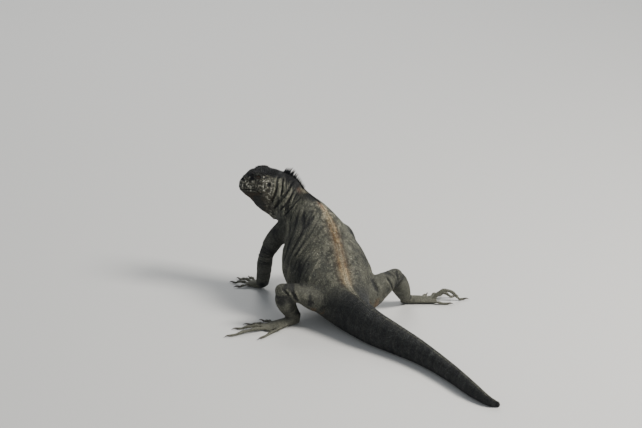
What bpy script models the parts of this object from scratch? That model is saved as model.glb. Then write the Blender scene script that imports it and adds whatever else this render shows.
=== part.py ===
"""A young marine iguana at rest with its chest raised and its head turned to its left, life size.

The frame is +Y towards the animal's front, +X towards its right and +Z up. The origin is on the floor under
the pelvis. Everything is in metres. The body is one run of oval rings from the tail's tip to the nape, parted
by thin cuts into tail, torso and neck. The head, limbs, digits, claws and spines are set on it from the same sizes.
"""
import collections
import math
import random

import bmesh
import bpy
from mathutils import Vector

GAP = 0.0003  # between nodes that touch
CLAW_CLEARANCE = 0.0004  # from a claw's tip to the floor
BELOW_FLOOR = -0.02  # how deep a cutter may reach

# Rings of the body: the centre's place, how far the body is turned to the left, pitched up and rolled to the right
# there in degrees, the half width and the heights above and below the centre square to the body, and how square the outline is
# above and below the centre, where 2 is an ellipse.
Station = collections.namedtuple("Station", "x y z turn pitch roll across above below peak square")
BODY = [
    Station(0.0535, -0.2395, 0.0028, 42, 0, 0, 0.0016, 0.0032, 0.0030, 2.0, 2.0),
    Station(0.0465, -0.2315, 0.0048, 24, 0, 0, 0.0034, 0.0057, 0.0053, 2.0, 2.0),
    Station(0.0412, -0.2060, 0.0076, 8, 0, 0, 0.0052, 0.0089, 0.0083, 2.0, 2.0),
    Station(0.0385, -0.1710, 0.0090, 5, 0, 0, 0.0065, 0.0105, 0.0097, 2.0, 2.0),
    Station(0.0345, -0.1370, 0.0102, 9, 0, 0, 0.0078, 0.0120, 0.0111, 2.0, 2.0),
    Station(0.0275, -0.1060, 0.0123, 16, 0, 0, 0.0094, 0.0145, 0.0134, 2.0, 2.0),
    Station(0.0170, -0.0760, 0.0150, 19, 0, 0, 0.0112, 0.0175, 0.0163, 2.0, 2.0),
    Station(0.0070, -0.0480, 0.0174, 15, 0, 0, 0.0136, 0.0204, 0.0189, 2.0, 2.0),
    Station(0.0014, -0.0220, 0.0198, 7, 8, 0, 0.0160, 0.0232, 0.0215, 2.0, 2.0),
    Station(0.0000, 0.0098, 0.0281, 0, 25, 0, 0.0275, 0.0220, 0.0310, 2.0, 2.2),
    Station(-0.0010, 0.0326, 0.0408, 0, 40, 2, 0.0430, 0.0290, 0.0400, 2.0, 2.3),
    Station(-0.0035, 0.0552, 0.0548, 0, 45, 5, 0.0450, 0.0400, 0.0420, 1.9, 2.3),
    Station(-0.0057, 0.0701, 0.0713, 0, 43, 8, 0.0380, 0.0410, 0.0380, 1.8, 2.2),
    Station(-0.0058, 0.0795, 0.0811, 0, 35, 9, 0.0310, 0.0370, 0.0370, 1.7, 2.1),
    Station(-0.0069, 0.0900, 0.0872, 3, 26, 9, 0.0265, 0.0330, 0.0360, 1.6, 2.0),
    Station(-0.0092, 0.1021, 0.0925, 10, 20, 7, 0.0218, 0.0290, 0.0350, 1.5, 2.0),
    Station(-0.0127, 0.1117, 0.0992, 24, 20, 5, 0.0190, 0.0260, 0.0340, 1.5, 1.8),
    Station(-0.0165, 0.1146, 0.1074, 38, 19, 3, 0.0172, 0.0250, 0.0340, 1.5, 1.7),
    Station(-0.0197, 0.1212, 0.1152, 49, 15, 0, 0.0162, 0.0215, 0.0350, 1.6, 1.6),
    Station(-0.0242, 0.1277, 0.1173, 56, 11, 0, 0.0162, 0.0200, 0.0365, 2.0, 1.5),
]
# Where the body is cut into nodes, counted in rings of BODY from the tail's tip.
TAIL_END, TAIL_CUT_1, TAIL_CUT_2, TAIL_ROOT, SHOULDERS, NAPE = 0.0, 3.0, 5.6, 8.3, 15.2, 19.0
BODY_SIDES = 24
TAIL_SIDES = 16

# Limb segments: rows of a centre and of the half sizes along and across the segment's flat direction.
Ring = collections.namedtuple("Ring", "x y z flat deep")
LEFT, RIGHT = -1, 1
THIGH = {
    LEFT: [Ring(-0.008, 0.0180, 0.0280, 0.0150, 0.0150), Ring(-0.026, 0.0200, 0.0305, 0.0150, 0.0152),
           Ring(-0.047, 0.0240, 0.0395, 0.0102, 0.0102), Ring(-0.064, 0.0285, 0.0448, 0.0075, 0.0075)],
    RIGHT: [Ring(0.008, 0.0180, 0.0260, 0.0140, 0.0150), Ring(0.030, 0.0190, 0.0260, 0.0150, 0.0170),
            Ring(0.048, 0.0210, 0.0335, 0.0120, 0.0135), Ring(0.064, 0.0240, 0.0405, 0.0085, 0.0085)],
}
SHANK = {
    LEFT: [Ring(-0.0650, 0.0285, 0.0440, 0.0075, 0.0080), Ring(-0.0605, 0.0300, 0.0310, 0.0098, 0.0105),
           Ring(-0.0545, 0.0320, 0.0190, 0.0085, 0.0090), Ring(-0.0480, 0.0335, 0.0090, 0.0065, 0.0075)],
    RIGHT: [Ring(0.0655, 0.0245, 0.0405, 0.0082, 0.0088), Ring(0.0715, 0.0270, 0.0285, 0.0098, 0.0105),
            Ring(0.0775, 0.0305, 0.0175, 0.0082, 0.0088), Ring(0.0825, 0.0340, 0.0085, 0.0062, 0.0070)],
}
UPPER_ARM = {
    LEFT: [Ring(-0.014, 0.1010, 0.0870, 0.0135, 0.0135), Ring(-0.028, 0.1050, 0.0790, 0.0118, 0.0118),
           Ring(-0.039, 0.1100, 0.0655, 0.0100, 0.0104), Ring(-0.046, 0.1140, 0.0500, 0.0088, 0.0092)],
    RIGHT: [Ring(0.014, 0.0980, 0.0780, 0.0120, 0.0120), Ring(0.030, 0.1010, 0.0700, 0.0110, 0.0115),
            Ring(0.043, 0.1050, 0.0620, 0.0088, 0.0095), Ring(0.0505, 0.1080, 0.0500, 0.0080, 0.0086)],
}
FOREARM = {
    LEFT: [Ring(-0.0463, 0.1143, 0.0495, 0.0086, 0.0092), Ring(-0.0452, 0.1205, 0.0370, 0.0084, 0.0090),
           Ring(-0.0435, 0.1280, 0.0220, 0.0074, 0.0082), Ring(-0.0420, 0.1350, 0.0090, 0.0068, 0.0075)],
    RIGHT: [Ring(0.0508, 0.1083, 0.0495, 0.0080, 0.0086), Ring(0.0515, 0.1150, 0.0380, 0.0078, 0.0084),
            Ring(0.0505, 0.1230, 0.0230, 0.0068, 0.0074), Ring(0.0490, 0.1310, 0.0090, 0.0060, 0.0070)],
}
LIMB_SIDES = 12

# The head's own axes start inside the nape: along is how far forward of there, lean how much each ring's top is
# behind its middle, and mid the height of its widest level. The rest is as for the body.
HEAD_AT, HEAD_TURN, HEAD_PITCH = (-0.0227, 0.1267, 0.1267), 56, -4
HeadRing = collections.namedtuple("HeadRing", "along lean mid across above below peak square")
HEAD = [
    HeadRing(0.0000, 0.262, -0.0093, 0.0162, 0.0193, 0.0353, 2.0, 1.5),
    HeadRing(0.0070, 0.210, -0.0072, 0.0172, 0.0186, 0.0330, 2.1, 1.5),
    HeadRing(0.0140, 0.150, -0.0055, 0.0174, 0.0182, 0.0310, 2.3, 1.6),
    HeadRing(0.0210, 0.100, -0.0045, 0.0164, 0.0176, 0.0283, 2.5, 1.7),
    HeadRing(0.0280, 0.050, -0.0040, 0.0148, 0.0168, 0.0232, 2.5, 1.8),
    HeadRing(0.0340, 0.010, -0.0037, 0.0128, 0.0152, 0.0164, 2.4, 1.9),
    HeadRing(0.0390, 0.000, -0.0036, 0.0108, 0.0113, 0.0124, 2.3, 2.0),
    HeadRing(0.0430, 0.000, -0.0035, 0.0085, 0.0072, 0.0085, 2.2, 2.0),
    HeadRing(0.0455, 0.000, -0.0035, 0.0056, 0.0042, 0.0050, 2.0, 2.0),
]
HEAD_TIP = 0.0466
HEAD_SIDES, HEAD_RINGS = 26, 15
EYE = (0.0218, 0.0090)  # along the head and above its axis
EYE_RADIUS, EYE_SUNK = 0.0036, 0.0018
LID = (0.0048, 0.0045, 0.0048)  # half sizes along, across and up of the lids' mound round the eye
# The opening between the lids: half its width, its heights above and below the eye's middle, and its tilt.
ALMOND, ALMOND_TILT = (0.0031, 0.0019, 0.0016), 8
# The mouth's line from its corner to the snout, as how far along and how high.
MOUTH = [(0.0205, -0.0088), (0.0235, -0.0064), (0.0270, -0.0050), (0.0330, -0.0048), (0.0400, -0.0056),
         (0.0450, -0.0064), (0.0500, -0.0068)]
MOUTH_WIDE, MOUTH_DEEP = 0.0008, 0.0013
LIP_APART, LIP_RADIUS, LIP_SUNK = 0.0013, 0.0011, 0.0006
# Swellings on each side of the head: along, out from the middle, up, and the half sizes the same way.
SWELLINGS = {
    "brow": (0.0218, 0.0096, 0.0116, 0.0080, 0.0036, 0.0022),
    "jowl": (0.0146, 0.0076, -0.0110, 0.0098, 0.0096, 0.0130),
    "nostril": (0.0388, 0.0046, 0.0036, 0.0046, 0.0026, 0.0022),
}
NOSTRIL_PIT = (0.0407, 0.0063, 0.0049, 0.0012)
EAR = (0.0105, 0.0010, 0.0028, 0.0007)  # along, up, half size and depth
EAR_RIM = 0.0009  # how much wider the ear's rim is, and how far it stands out

# The crest, from the head to the tail's end: the range of places on BODY, the number of spines, and the heights
# at the range's two ends.
CREST = {
    "neck": [(18.70, 16.0, 14, 0.0076, 0.0052), (15.9, 15.35, 4, 0.0014, 0.0018)],
    "torso": [(15.1, 14.0, 8, 0.0020, 0.0018), (13.87, 8.45, 32, 0.0016, 0.0014)],
    "tail_base": [(8.15, 5.75, 18, 0.0014, 0.0013)],
    "tail_middle": [(5.45, 3.12, 18, 0.0013, 0.0011)],
    "tail_tip": [(2.88, 0.9, 12, 0.0011, 0.0008)],
}
TUBERCLE_ROWS, TUBERCLE_STEP = 9, 0.0036
LIMB_RINGS = 7

# Feet and hands. A sole has its length, half width and thickness; it starts at the ankle or wrist and heads the
# way that it is turned outwards from +Y, in degrees.
Sole = collections.namedtuple("Sole", "x y turn length width thick")
FOOT = {LEFT: Sole(-0.0475, 0.0335, 92, 0.036, 0.0092, 0.0088), RIGHT: Sole(0.0830, 0.0370, 107, 0.033, 0.0088, 0.0088)}
HAND = {LEFT: Sole(-0.0420, 0.1385, 24, 0.017, 0.0088, 0.0080), RIGHT: Sole(0.0490, 0.1345, 22, 0.017, 0.0088, 0.0080)}
# Digits from the first, on the inner side, to the fifth: the share of the sole's length where it roots, how far
# to the outer side, its splay outwards in degrees, its length without the claw, and its radius at the root.
Digit = collections.namedtuple("Digit", "along side splay length radius")
TOES = {
    LEFT: [Digit(0.62, -0.0065, -66, 0.0140, 0.0024), Digit(0.86, -0.0055, -38, 0.0190, 0.0025),
           Digit(0.92, -0.0020, -20, 0.0300, 0.0026), Digit(0.90, 0.0020, -1, 0.0440, 0.0027),
           Digit(0.36, 0.0062, 22, 0.0380, 0.0026)],
    RIGHT: [Digit(0.62, -0.0060, -62, 0.0130, 0.0024), Digit(0.86, -0.0050, -36, 0.0180, 0.0025),
            Digit(0.92, -0.0020, -17, 0.0260, 0.0026), Digit(0.90, 0.0020, -4, 0.0350, 0.0027),
            Digit(0.40, 0.0050, 9, 0.0330, 0.0026)],
}
FINGERS = {
    LEFT: [Digit(0.60, -0.0062, -50, 0.0110, 0.0022), Digit(0.85, -0.0045, -26, 0.0160, 0.0023),
           Digit(0.90, 0.0000, -4, 0.0190, 0.0024), Digit(0.85, 0.0045, 18, 0.0185, 0.0023),
           Digit(0.62, 0.0064, 44, 0.0130, 0.0022)],
    RIGHT: [Digit(0.60, -0.0062, -50, 0.0110, 0.0022), Digit(0.85, -0.0045, -26, 0.0160, 0.0023),
            Digit(0.90, 0.0000, -4, 0.0190, 0.0024), Digit(0.85, 0.0045, 18, 0.0185, 0.0023),
            Digit(0.62, 0.0064, 44, 0.0130, 0.0022)],
}
# How high each digit's middle is humped over the floor.
TOE_ARCH = {LEFT: (0.0012, 0.0012, 0.0014, 0.0012, 0.0008), RIGHT: (0.0012, 0.0030, 0.0060, 0.0110, 0.0008)}
FINGER_ARCH = (0.0010, 0.0020, 0.0024, 0.0020, 0.0010)
DIGIT_TAPER = 0.62
DIGIT_SIDES = 7
DIGIT_RINGS = 6
CLAW_LENGTH = {"toe": 0.0068, "finger": 0.0058}
CLAW_RADIUS = 0.0013
CLAW_SIDES = 5

MATERIALS = {
    "trunk_skin": ((0.060, 0.058, 0.055), 0.72),
    "head_skin": ((0.085, 0.080, 0.074), 0.70),
    "limb_skin": ((0.095, 0.092, 0.086), 0.74),
    "claw": ((0.050, 0.045, 0.040), 0.38),
    "eye": ((0.035, 0.022, 0.014), 0.12),
}


def clear_scene():
    for item in list(bpy.data.objects):
        bpy.data.objects.remove(item)


def material(name):
    """The named finish, made once."""
    made = bpy.data.materials.get(name) or bpy.data.materials.new(name)
    colour, roughness = MATERIALS[name]
    made.use_nodes = True
    shader = made.node_tree.nodes["Principled BSDF"]
    shader.inputs["Base Color"].default_value = (*colour, 1)
    shader.inputs["Roughness"].default_value = roughness
    shader.inputs["Metallic"].default_value = 0
    return made


def blend(rows, t):
    """The numbers of a list of rows at place t, where 0 is the first row, on a smooth curve through them all."""
    i = min(int(t), len(rows) - 2)
    f = t - i
    p1, p2 = rows[i], rows[i + 1]
    p0 = rows[i - 1] if i > 0 else [2 * a - b for a, b in zip(p1, p2)]
    p3 = rows[i + 2] if i + 2 < len(rows) else [2 * b - a for a, b in zip(p1, p2)]
    return [
        0.5 * (2 * b + (c - a) * f + (2 * a - 5 * b + 4 * c - d) * f ** 2 + (3 * b - a - 3 * c + d) * f ** 3)
        for a, b, c, d in zip(p0, p1, p2, p3)
    ]


def facing(turn, pitch=0.0, roll=0.0):
    """The forward, right and up directions after a turn to the left from +Y, a pitch up and a roll to the right."""
    turn, pitch, roll = math.radians(turn), math.radians(pitch), math.radians(roll)
    forward = Vector((-math.sin(turn) * math.cos(pitch), math.cos(turn) * math.cos(pitch), math.sin(pitch)))
    level = Vector((math.cos(turn), math.sin(turn), 0))
    right = level * math.cos(roll) - level.cross(forward) * math.sin(roll)
    return forward, right, right.cross(forward)


def power(value, exponent):
    return math.copysign(abs(value) ** exponent, value)


def tube(rings, tips=(None, None)):
    """A closed mesh through rings of points, each end a flat cap or, where a tip is given, a fan to that point."""
    mesh = bmesh.new()
    made = [[mesh.verts.new(p) for p in ring] for ring in rings]
    sides = len(rings[0])
    for low, high in zip(made, made[1:]):
        for k in range(sides):
            n = (k + 1) % sides
            mesh.faces.new((low[k], low[n], high[n], high[k]))
    for ring, tip in ((made[0], tips[0]), (made[-1], tips[1])):
        if tip is None:
            mesh.faces.new(ring)
            continue
        point = mesh.verts.new(tip)
        for k in range(sides):
            mesh.faces.new((ring[k], ring[(k + 1) % sides], point))
    bmesh.ops.recalc_face_normals(mesh, faces=mesh.faces)
    return mesh


def add(name, mesh, finish):
    """An object of that name from a bmesh, smooth but for its sharp edges."""
    data = bpy.data.meshes.new(name)
    mesh.to_mesh(data)
    mesh.free()
    data.materials.append(material(finish))
    made = bpy.data.objects.new(name, data)
    bpy.context.scene.collection.objects.link(made)
    data.shade_smooth()
    data.set_sharp_from_angle(angle=math.radians(50))
    return made


def keep_largest(data):
    """Leaves only the mesh's largest closed surface."""
    mesh = bmesh.new()
    mesh.from_mesh(data)
    bmesh.ops.remove_doubles(mesh, verts=mesh.verts, dist=2e-6)
    left, groups = set(mesh.verts), []
    while left:
        group, edge_of = set(), [left.pop()]
        while edge_of:
            vert = edge_of.pop()
            group.add(vert)
            near = {e.other_vert(vert) for e in vert.link_edges} & left
            left -= near
            edge_of.extend(near)
        groups.append(group)
    groups.sort(key=len, reverse=True)
    for group in groups[1:]:
        bmesh.ops.delete(mesh, geom=list(group), context="VERTS")
    mesh.to_mesh(data)
    mesh.free()


def boolean(target, pieces, operation, keep=True):
    """Joins pieces to the target or cuts them from it, and removes them."""
    held = bpy.data.collections.new("pieces")
    bpy.context.scene.collection.children.link(held)
    for piece in pieces:
        bpy.context.scene.collection.objects.unlink(piece)
        held.objects.link(piece)
    step = target.modifiers.new("step", "BOOLEAN")
    step.operation = operation
    step.solver = "EXACT"
    step.operand_type = "COLLECTION"
    step.collection = held
    bpy.context.view_layer.update()
    evaluated = target.evaluated_get(bpy.context.evaluated_depsgraph_get())
    data = bpy.data.meshes.new_from_object(evaluated)
    target.modifiers.remove(step)
    target.data = data
    data.name = target.name
    for piece in pieces:
        bpy.data.objects.remove(piece)
    bpy.data.collections.remove(held)
    if keep:
        keep_largest(data)
    data.shade_smooth()
    data.set_sharp_from_angle(angle=math.radians(50))
    return target


def outline(row, sides, grow=0.0):
    """Points round a ring of the body or head, as how far to the right and how far up from its centre."""
    points = []
    for k in range(sides):
        angle = 2 * math.pi * k / sides
        high, square = (row.above, row.peak) if math.cos(angle) > 0 else (row.below, row.square)
        points.append(((row.across + grow) * power(math.sin(angle), 2 / square),
                       (high + grow) * power(math.cos(angle), 2 / square)))
    return points


def body_ring(t, sides, grow=0.0, shift=0.0, floor=0.0):
    """The body's outline at place t of BODY, moved along the body by shift and swollen by grow."""
    s = Station(*blend(BODY, t))
    forward, right, up = facing(s.turn, s.pitch, s.roll)
    centre = Vector((s.x, s.y, s.z)) + forward * shift
    points = [centre + right * across + up * high for across, high in outline(s, sides, grow)]
    for point in points:
        point.z = max(point.z, floor)
    return points


def body_length(start, end, sides, rings, shifts=(0.0, 0.0), grow=0.0, floor=0.0):
    """The outlines from place start to place end of BODY, with its two ends moved along the body by shifts."""
    found = []
    for i in range(rings):
        shift = shifts[0] if i == 0 else shifts[1] if i == rings - 1 else 0.0
        found.append(body_ring(start + (end - start) * i / (rings - 1), sides, grow, shift, floor))
    return found


def body_nodes():
    """The tail in three lengths, the torso and the neck."""
    half = GAP / 2
    tip = Station(*blend(BODY, TAIL_END))
    end_point = Vector((tip.x, tip.y, tip.z)) - facing(tip.turn)[0] * 0.0012
    return {
        "tail_tip": add("tail_tip", tube(body_length(TAIL_END, TAIL_CUT_1, TAIL_SIDES, 10, (0, -half)),
                                         (end_point, None)), "trunk_skin"),
        "tail_middle": add("tail_middle", tube(body_length(TAIL_CUT_1, TAIL_CUT_2, TAIL_SIDES, 11, (half, -half))),
                           "trunk_skin"),
        "tail_base": add("tail_base", tube(body_length(TAIL_CUT_2, TAIL_ROOT, TAIL_SIDES, 11, (half, -half))),
                         "trunk_skin"),
        "torso": add("torso", tube(body_length(TAIL_ROOT, SHOULDERS, BODY_SIDES, 21, (half, -half))), "trunk_skin"),
        "neck": add("neck", tube(body_length(SHOULDERS, NAPE, BODY_SIDES, 12, (half, -half))), "trunk_skin"),
    }


def body_cutter():
    """The torso and neck swollen by the gap, to cut the root of a limb."""
    rings = body_length(TAIL_CUT_2, NAPE, BODY_SIDES * 2, 60, (0, 0), GAP, BELOW_FLOOR)
    return add("cutter", tube(rings), "trunk_skin")


def limb_mesh(rows, flat, grow=0.0, floor=0.0):
    """A limb segment through its rings with rounded ends. flat is the direction of each ring's flat size."""
    rings = []
    last = len(rows) - 1
    steps = [last * i / (LIMB_RINGS - 1) for i in range(LIMB_RINGS)]
    ends = [(0.97, 0.22), (0.75, 0.66), (0.40, 0.92)]  # how far out, as a share of the radius, and how wide
    places = [(0.0, -out, wide) for out, wide in ends] + [(t, 0.0, 1.0) for t in steps]
    places += [(float(last), out, wide) for out, wide in reversed(ends)]
    for t, out, wide in places:
        row = Ring(*blend(rows, t))
        before, after = blend(rows, max(t - 0.05, 0)), blend(rows, min(t + 0.05, last))
        along = (Vector(after[:3]) - Vector(before[:3])).normalized()
        a = (flat - along * flat.dot(along)).normalized()
        b = along.cross(a)
        centre = Vector(row[:3]) + along * out * (0.5 * (row.flat + row.deep) + grow)
        ring = []
        for k in range(LIMB_SIDES):
            angle = 2 * math.pi * k / LIMB_SIDES
            point = centre + a * (row.flat + grow) * wide * math.cos(angle)
            point += b * (row.deep + grow) * wide * math.sin(angle)
            point.z = max(point.z, floor)
            ring.append(point)
        rings.append(ring)
    return tube(rings)


def limb_nodes(side, name):
    """The two segments of a hind leg and of a foreleg, each cut clear of what it grows from."""
    made = {}
    for upper, lower, names in ((THIGH, SHANK, ("thigh", "shank")), (UPPER_ARM, FOREARM, ("upper_arm", "forearm"))):
        flat = Vector((0, 1, 0))
        root = add(f"{names[0]}_{name}", limb_mesh(upper[side], flat), "limb_skin")
        boolean(root, [body_cutter()], "DIFFERENCE")
        shaft = add(f"{names[1]}_{name}", limb_mesh(lower[side], flat), "limb_skin")
        cutter = add("cutter", limb_mesh(upper[side], flat, GAP, BELOW_FLOOR), "limb_skin")
        boolean(shaft, [cutter, body_cutter()], "DIFFERENCE")
        made[names[0]], made[names[1]] = root, shaft
    return made


def sole_rings(sole, side, grow=0.0, floor=0.0):
    """The outlines of a hand or foot without its digits, from just behind the ankle or wrist to the knuckles."""
    forward, right, up = facing(-side * sole.turn)
    rings = []
    for share, wide, thick in ((-0.16, 0.30, 0.45), (-0.10, 0.52, 0.75), (0.05, 0.66, 1.05), (0.30, 0.78, 0.95),
                               (0.60, 0.95, 0.78), (0.85, 1.00, 0.62), (1.00, 0.86, 0.48), (1.06, 0.55, 0.30)):
        high = sole.thick * thick
        centre = Vector((sole.x, sole.y, high * 0.5)) + forward * sole.length * share
        ring = []
        for k in range(LIMB_SIDES):
            angle = 2 * math.pi * k / LIMB_SIDES
            point = centre + right * (sole.width * wide + grow) * math.sin(angle)
            point += up * (high * 0.56 + grow) * math.cos(angle)
            point.z = max(point.z, floor)
            ring.append(point)
        rings.append(ring)
    return rings


def digit_path(sole, side, digit, arch, t):
    """The centre and radius of a digit at share t of its length, humped by arch over the floor."""
    forward, right, _ = facing(-side * sole.turn)
    aim = facing(-side * (sole.turn + digit.splay))[0]
    root = Vector((sole.x, sole.y, 0)) + forward * sole.length * digit.along + right * side * digit.side
    radius = digit.radius * (1 - (1 - DIGIT_TAPER) * t)
    radius *= 1 + 0.10 * math.cos(3 * 2 * math.pi * t)  # knuckles
    centre = root + aim * digit.length * t
    centre.z = radius * 0.92 + arch * math.sin(math.pi * min(t * 1.15, 1.0)) + 0.0006 * (1 - t)
    return centre, radius


def digit_rings(sole, side, digit, arch, start=0.0, end=1.0, grow=0.0, floor=0.0):
    rings = []
    right = facing(-side * (sole.turn + digit.splay))[1]
    for i in range(DIGIT_RINGS):
        t = start + (end - start) * i / (DIGIT_RINGS - 1)
        centre, radius = digit_path(sole, side, digit, arch, t)
        ahead = digit_path(sole, side, digit, arch, t + 0.02)[0] - digit_path(sole, side, digit, arch, t - 0.02)[0]
        up = right.cross(ahead.normalized())
        ring = []
        for k in range(DIGIT_SIDES):
            angle = 2 * math.pi * k / DIGIT_SIDES
            point = centre + right * (radius + grow) * math.sin(angle) + up * (radius + grow) * math.cos(angle)
            point.z = max(point.z, floor)
            ring.append(point)
        rings.append(ring)
    return rings


def claw_mesh(sole, side, digit, arch, length):
    """A curved claw that starts a gap past the digit's end and bends down almost to the floor."""
    end, radius = digit_path(sole, side, digit, arch, 1.0)
    forward, right, up = facing(-side * (sole.turn + digit.splay))
    rings = []
    steps = 3
    for i in range(steps):
        share = i / steps
        size = CLAW_RADIUS * (1 - share) ** 0.8
        centre = end + forward * (GAP + length * share)
        centre.z = end.z + 0.0006 * math.sin(math.pi * share) + (CLAW_CLEARANCE + size - end.z) * share ** 2
        ring = []
        for k in range(CLAW_SIDES):
            angle = 2 * math.pi * k / CLAW_SIDES
            point = centre + right * size * 0.72 * math.sin(angle) + up * size * math.cos(angle)
            point.z = max(point.z, CLAW_CLEARANCE)
            ring.append(point)
        rings.append(ring)
    tip = end + forward * (GAP + length)
    tip.z = CLAW_CLEARANCE
    return tube(rings, (None, tip))


def paw_nodes(kind, side, name):
    """A hand or foot: its sole and five digits as one node, and its claws."""
    if kind == "foot":
        sole, digits, arches, word = FOOT[side], TOES[side], TOE_ARCH[side], "toe"
    else:
        sole, digits, arches, word = HAND[side], FINGERS[side], FINGER_ARCH, "finger"
    paw = add(f"{kind}_{name}", tube(sole_rings(sole, side)), "limb_skin")
    pieces = []
    for digit, arch in zip(digits, arches):
        pieces.append(add("digit", tube(digit_rings(sole, side, digit, arch)), "limb_skin"))
    boolean(paw, pieces, "UNION")
    lower, upper = (SHANK, THIGH) if kind == "foot" else (FOREARM, UPPER_ARM)
    cutters = [add("cutter", limb_mesh(rows[side], Vector((0, 1, 0)), GAP, BELOW_FLOOR), "limb_skin")
               for rows in (lower, upper)]
    boolean(paw, cutters, "DIFFERENCE")
    for number, (digit, arch) in enumerate(zip(digits, arches), 1):
        add(f"claw_{kind}_{name}_{number}", claw_mesh(sole, side, digit, arch, CLAW_LENGTH[word]), "claw")


def on_head(along, across, up):
    """The place of a point given along the head, to its right and up from its axis."""
    forward, right, high = facing(HEAD_TURN, HEAD_PITCH)
    return Vector(HEAD_AT) + forward * along + right * across + high * up


def head_rings(sides, shrink=0.0):
    rings = []
    for i in range(HEAD_RINGS):
        row = HeadRing(*blend(HEAD, (len(HEAD) - 1) * i / (HEAD_RINGS - 1)))
        points = outline(row, sides, -shrink)
        rings.append([on_head(row.along - row.lean * (row.mid + up), across, row.mid + up) for across, up in points])
    return rings


def head_width(along, up):
    """Half the head's width at a place along it and a height."""
    t = next(i for i in range(len(HEAD) - 1) if HEAD[i + 1].along >= along)
    t += (along - HEAD[t].along) / (HEAD[t + 1].along - HEAD[t].along)
    row = HeadRing(*blend(HEAD, t))
    high, square = (row.above, row.peak) if up > row.mid else (row.below, row.square)
    return row.across * max(1 - abs((up - row.mid) / high) ** square, 0) ** (1 / square)


def head_top(along):
    t = next(i for i in range(len(HEAD) - 1) if HEAD[i + 1].along >= along)
    t += (along - HEAD[t].along) / (HEAD[t + 1].along - HEAD[t].along)
    row = HeadRing(*blend(HEAD, t))
    return row.mid + row.above


def ellipsoid(centre, sizes, finish="head_skin", around=10, rings=6):
    """A closed ellipsoid on the head: its centre and half sizes along, across and up."""
    made = []
    for i in range(1, rings):
        high = math.cos(math.pi * i / rings)
        wide = math.sin(math.pi * i / rings)
        made.append([on_head(centre[0] + sizes[0] * wide * math.cos(2 * math.pi * k / around),
                             centre[1] + sizes[1] * wide * math.sin(2 * math.pi * k / around),
                             centre[2] + sizes[2] * high) for k in range(around)])
    ends = [on_head(centre[0], centre[1], centre[2] + sizes[2] * sign) for sign in (1, -1)]
    return add("piece", tube(made, ends), finish)


def spine(foot, up, along, height, thick, sides=5):
    """A flat-sided spine that leans back, its root sunk below its foot."""
    rings = []
    long = 0.16 * height + 0.0004
    for share, wide in ((-0.35, 1.0), (0.50, 0.60)) if height > 0.003 else ((-0.6, 1.0),):
        centre = foot + up * height * share - along * height * 0.20 * max(share, 0) ** 2
        ring = []
        for k in range(sides):
            angle = 2 * math.pi * k / sides
            ring.append(centre + along * long * wide * math.cos(angle)
                        + up.cross(along) * thick * wide * math.sin(angle))
        rings.append(ring)
    return add("piece", tube(rings, (None, foot + up * height - along * height * 0.30)), "trunk_skin")


def crest(nodes):
    """The row of spines down the neck, the back and the tail."""
    chance = random.Random(7)
    for name, stretches in CREST.items():
        pieces = []
        for start, end, number, high, low in stretches:
            for i in range(number):
                share = (i + 0.3 * (chance.random() - 0.5)) / max(number - 1, 1)
                share = min(max(share, 0.0), 1.0)
                s = Station(*blend(BODY, start + (end - start) * share))
                forward, right, up = facing(s.turn, s.pitch, s.roll)
                top = Vector((s.x, s.y, s.z)) + up * s.above
                swell = 1.0 if high < 0.003 else 0.72 + 0.32 * math.sin(math.pi * min(share * 1.5 + 0.12, 1.0))
                height = (high + (low - high) * share) * swell * (0.90 + 0.22 * chance.random())
                pieces.append(spine(top - up * 0.0003, up, forward, height, 0.14 * height + 0.0003))
        boolean(nodes[name], pieces, "UNION")


def head_nodes():
    """The head with its lips, eyelids, nostrils, ears and tubercles, and the two eyes."""
    rings = head_rings(HEAD_SIDES)
    rings[0] = body_ring(NAPE, HEAD_SIDES, 0.0, GAP / 2)
    head = add("head", tube(rings, (None, on_head(HEAD_TIP, 0, HEAD[-1].mid))), "head_skin")
    eye_across = head_width(*EYE) - EYE_SUNK
    swellings, pits = [lip(LIP_APART), lip(-LIP_APART)], []
    for side in (LEFT, RIGHT):
        for along, across, up, *sizes in SWELLINGS.values():
            swellings.append(ellipsoid((along, side * across, up), sizes, around=16, rings=9))
        swellings.append(ellipsoid((EYE[0], side * eye_across, EYE[1]), LID, around=16, rings=9))
        clear = EYE_RADIUS + GAP
        pits.append(ellipsoid((EYE[0], side * eye_across, EYE[1]), (clear, clear, clear), around=16, rings=9))
        pits.append(eye_opening(side, eye_across))
        along, across, up, size = NOSTRIL_PIT
        pits.append(ellipsoid((along, side * across, up), (size, size, size), around=8, rings=6))
        along, up, size, deep = EAR
        at, rim = (along, side * head_width(along, up), up), size + EAR_RIM
        swellings.append(ellipsoid(at, (rim, EAR_RIM, rim), around=14, rings=8))
        middle = (along, at[1] + side * EAR_RIM * 0.5, up)
        pits.append(ellipsoid(middle, (size, deep + EAR_RIM, size), around=12, rings=7))
        add("eye_" + ("left" if side == LEFT else "right"), eyeball(side, eye_across), "eye")
    swellings += tubercles()
    boolean(head, swellings, "UNION")
    boolean(head, [mouth_groove()] + pits, "DIFFERENCE")
    return head


def eyeball(side, across, around=14, rings=8):
    """An eyeball's mesh."""
    made = []
    for i in range(1, rings):
        high = math.cos(math.pi * i / rings) * EYE_RADIUS
        wide = math.sin(math.pi * i / rings) * EYE_RADIUS
        made.append([on_head(EYE[0] + wide * math.cos(2 * math.pi * k / around),
                             side * across + wide * math.sin(2 * math.pi * k / around), EYE[1] + high)
                     for k in range(around)])
    return tube(made, [on_head(EYE[0], side * across, EYE[1] + EYE_RADIUS * sign) for sign in (1, -1)])


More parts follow.
